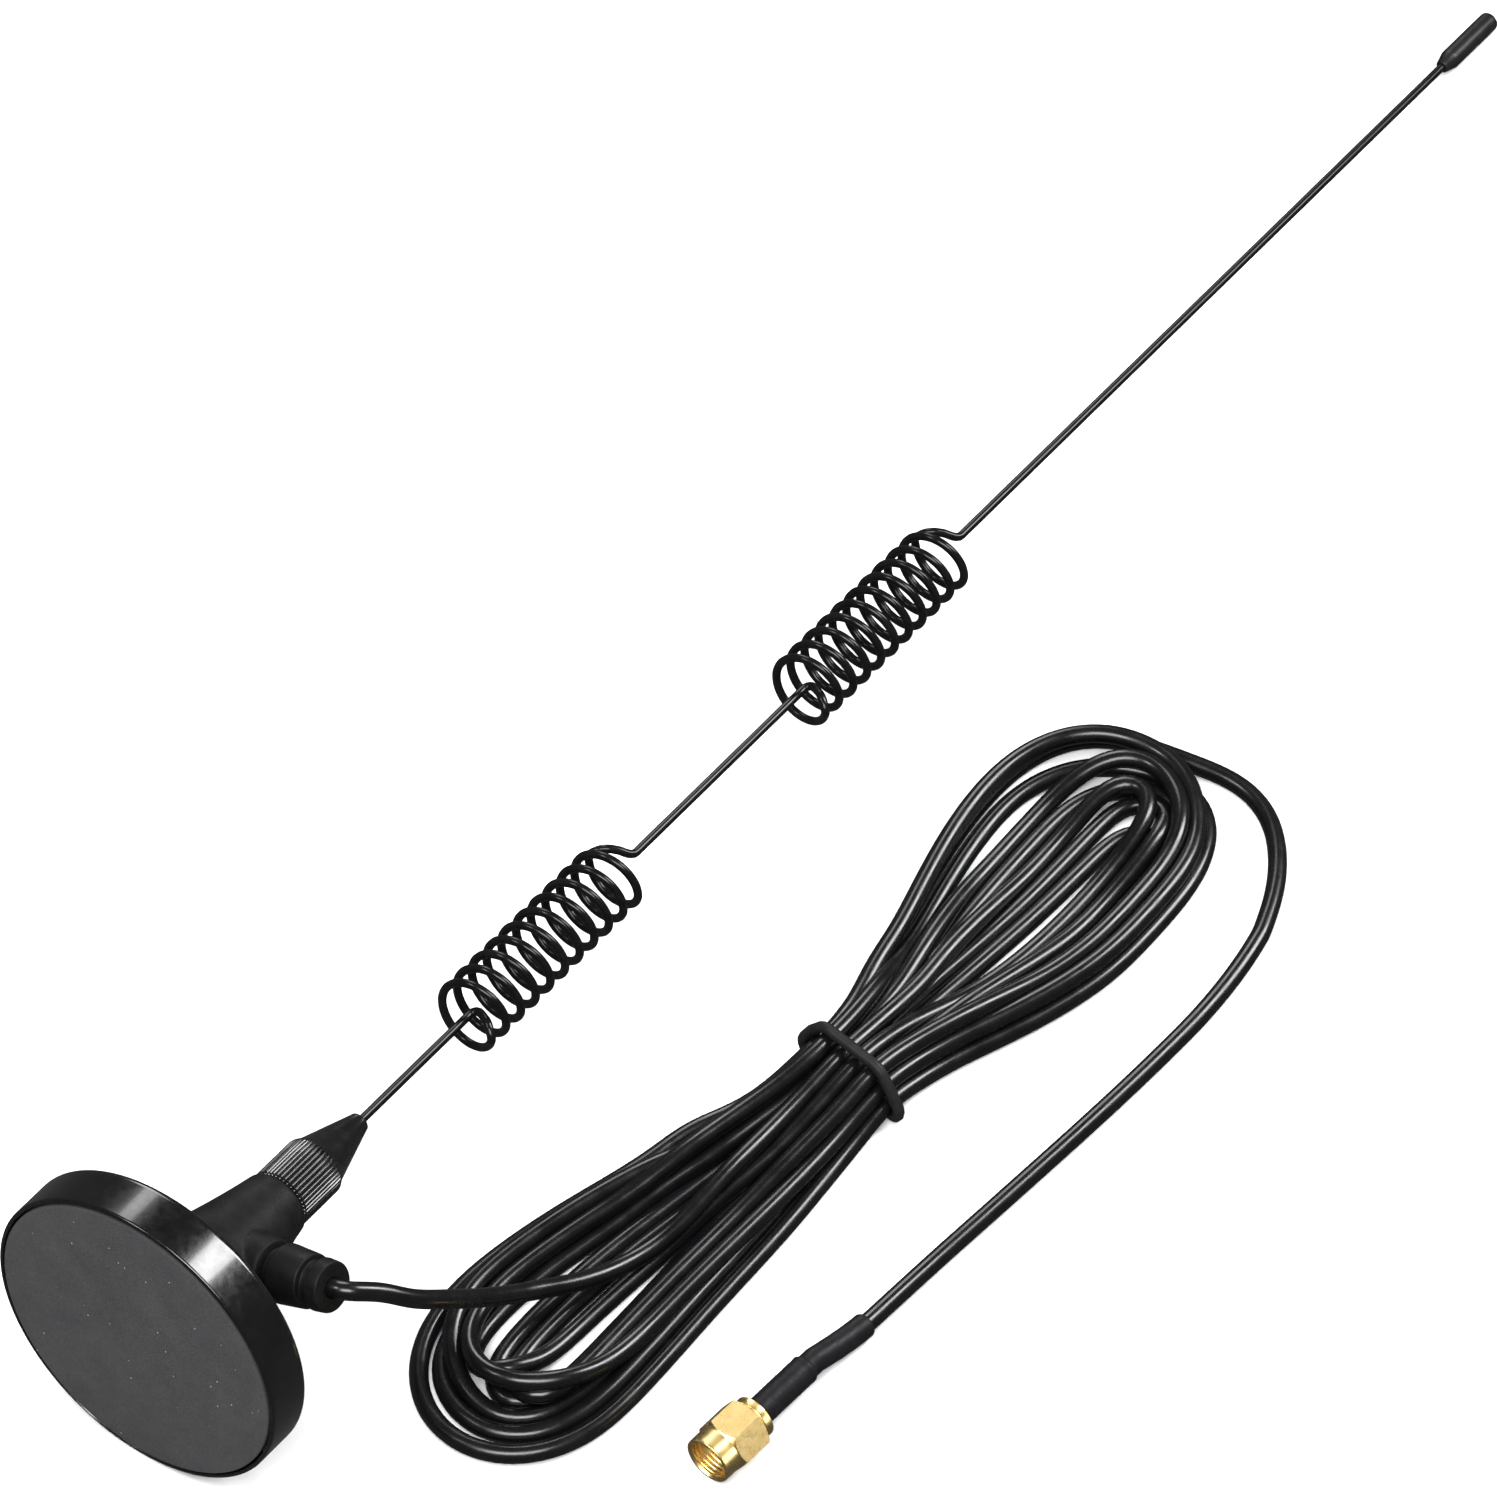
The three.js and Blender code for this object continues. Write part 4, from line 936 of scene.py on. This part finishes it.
def plug_body():
    profile = [(0.6, -7), (1, -7), (1, 0), (FLANGE_R - 0.2, 0), (FLANGE_R, 0.2),
               (FLANGE_R, FLANGE_THICK - 0.2), (FLANGE_R - 0.2, FLANGE_THICK), (NECK_R, FLANGE_THICK),
               (NECK_R, 3.4), (SLEEVE_R, 3.4),
               (SLEEVE_R, REFERENCE_PLANE), (2.0, REFERENCE_PLANE), (2.0, 0.8), (0.6, 0.8)]
    return add_mesh("visual_plug_body", *revolve(soften(profile, 0.08, 2), 96), PLUG, sharp=50)


def centre_pin():
    profile = [(PIN_R, 1.1), (PIN_R, PIN_TOP - 0.5), (PIN_R - 0.05, PIN_TOP - 0.35), (0.2, PIN_TOP - 0.03),
               (0.08, PIN_TOP)]
    return add_mesh("visual_centre_pin", *revolve_bar(profile, 32), PLUG)


dress(tie_ring(), TIE, "base", "tie_rubber", "cable_tie_ring")
dress(heat_shrink(), SHRINK, "base", "shrink", "heat_shrink_sleeve")
dress(coupling_nut(), GOLD, "plug_nut", "gold", "sma_coupling_nut")
dress(plug_body(), GOLD, "base", "gold", "sma_body")
dress(centre_pin(), GOLD, "base", "gold", "sma_center_pin")
for piece_name, profile, material, slot, node in (
        ("visual_dielectric", ring_profile(0.7, 1.72, 1.1, REFERENCE_PLANE), WHITE, "white_plastic",
         "sma_dielectric"),
        ("visual_snap_ring", ring_profile(2.65, 2.95, 2.5, 2.85), STEEL, "steel", "sma_snap_ring"),
        ("visual_gasket", ring_profile(2.5, 2.85, 3.7, 4.5), RED, "gasket_rubber", "sma_gasket")):
    dress(add_mesh(piece_name, *revolve(profile, 64), PLUG), material, "base", slot, node)

dress(CABLE, JACKET, "base", "cable_jacket", "cable_tail", "cable_hank", "cable_lead")


# Studio ---------------------------------------------------------------------------------------

def floor():
    data = bpy.data.meshes.new("floor")
    size = 6.0
    corners = [(-size, -size, 0), (size, -size, 0), (size, size, 0), (-size, size, 0)]
    data.from_pydata(corners, [], [(0, 1, 2, 3)])
    made = bpy.data.objects.new("floor", data)
    bpy.context.scene.collection.objects.link(made)
    p = Paint("floor_paper", (0.9, 0.9, 0.9), 0.9, specular=0.2)
    made.data.materials.append(p.material)
    made.visible_glossy = False


def softbox(name, azimuth, elevation, distance, size, power, target=(0.02, -0.06, 0)):
    """A rectangular area light, placed as look_at says."""
    data = bpy.data.lights.new(name, "AREA")
    data.shape = "RECTANGLE"
    data.size, data.size_y = size
    data.energy = power
    light = bpy.data.objects.new(name, data)
    look_at(light, target, azimuth, elevation, distance)
    return light


floor()
softbox("back_right", 147, 43, 1.1, (0.32, 0.60), 11)
softbox("back_left", -136, 33, 1.1, (0.30, 0.55), 3)
softbox("front", 32, 55, 2.2, (1.5, 0.9), 52)
softbox("front_left", -40, 50, 1.6, (0.4, 0.3), 5)
softbox("overhead", -60, 78, 1.6, (1.2, 1.2), 26).visible_glossy = False
plated = bpy.data.collections.new("plated")
for name in ("visual_coupling_nut", "visual_plug_body", "visual_centre_pin", "visual_dielectric"):
    plated.objects.link(bpy.data.objects[name])
# Small cards that light only the plug, so that its plating has something to mirror.
for name, azimuth, elevation, power in (("card_top", -146, 52, 0.22), ("card_right", 118, 14, 0.9),
                                        ("card_left", -80, 14, 0.5), ("card_mouth", -12, 22, 2.0)):
    card = softbox(name, azimuth, elevation, 0.5, (0.34, 0.22), power, target=(0.071, -0.117, 0.004))
    card.light_linking.receiver_collection = plated
world = bpy.data.worlds.new("studio")
bpy.context.scene.world = world
world.use_nodes = True
world.node_tree.nodes["Background"].inputs["Color"].default_value = (1, 1, 1, 1)
world.node_tree.nodes["Background"].inputs["Strength"].default_value = 0.09
bpy.context.scene.view_settings.view_transform = "Standard"

bpy.context.view_layer.update()
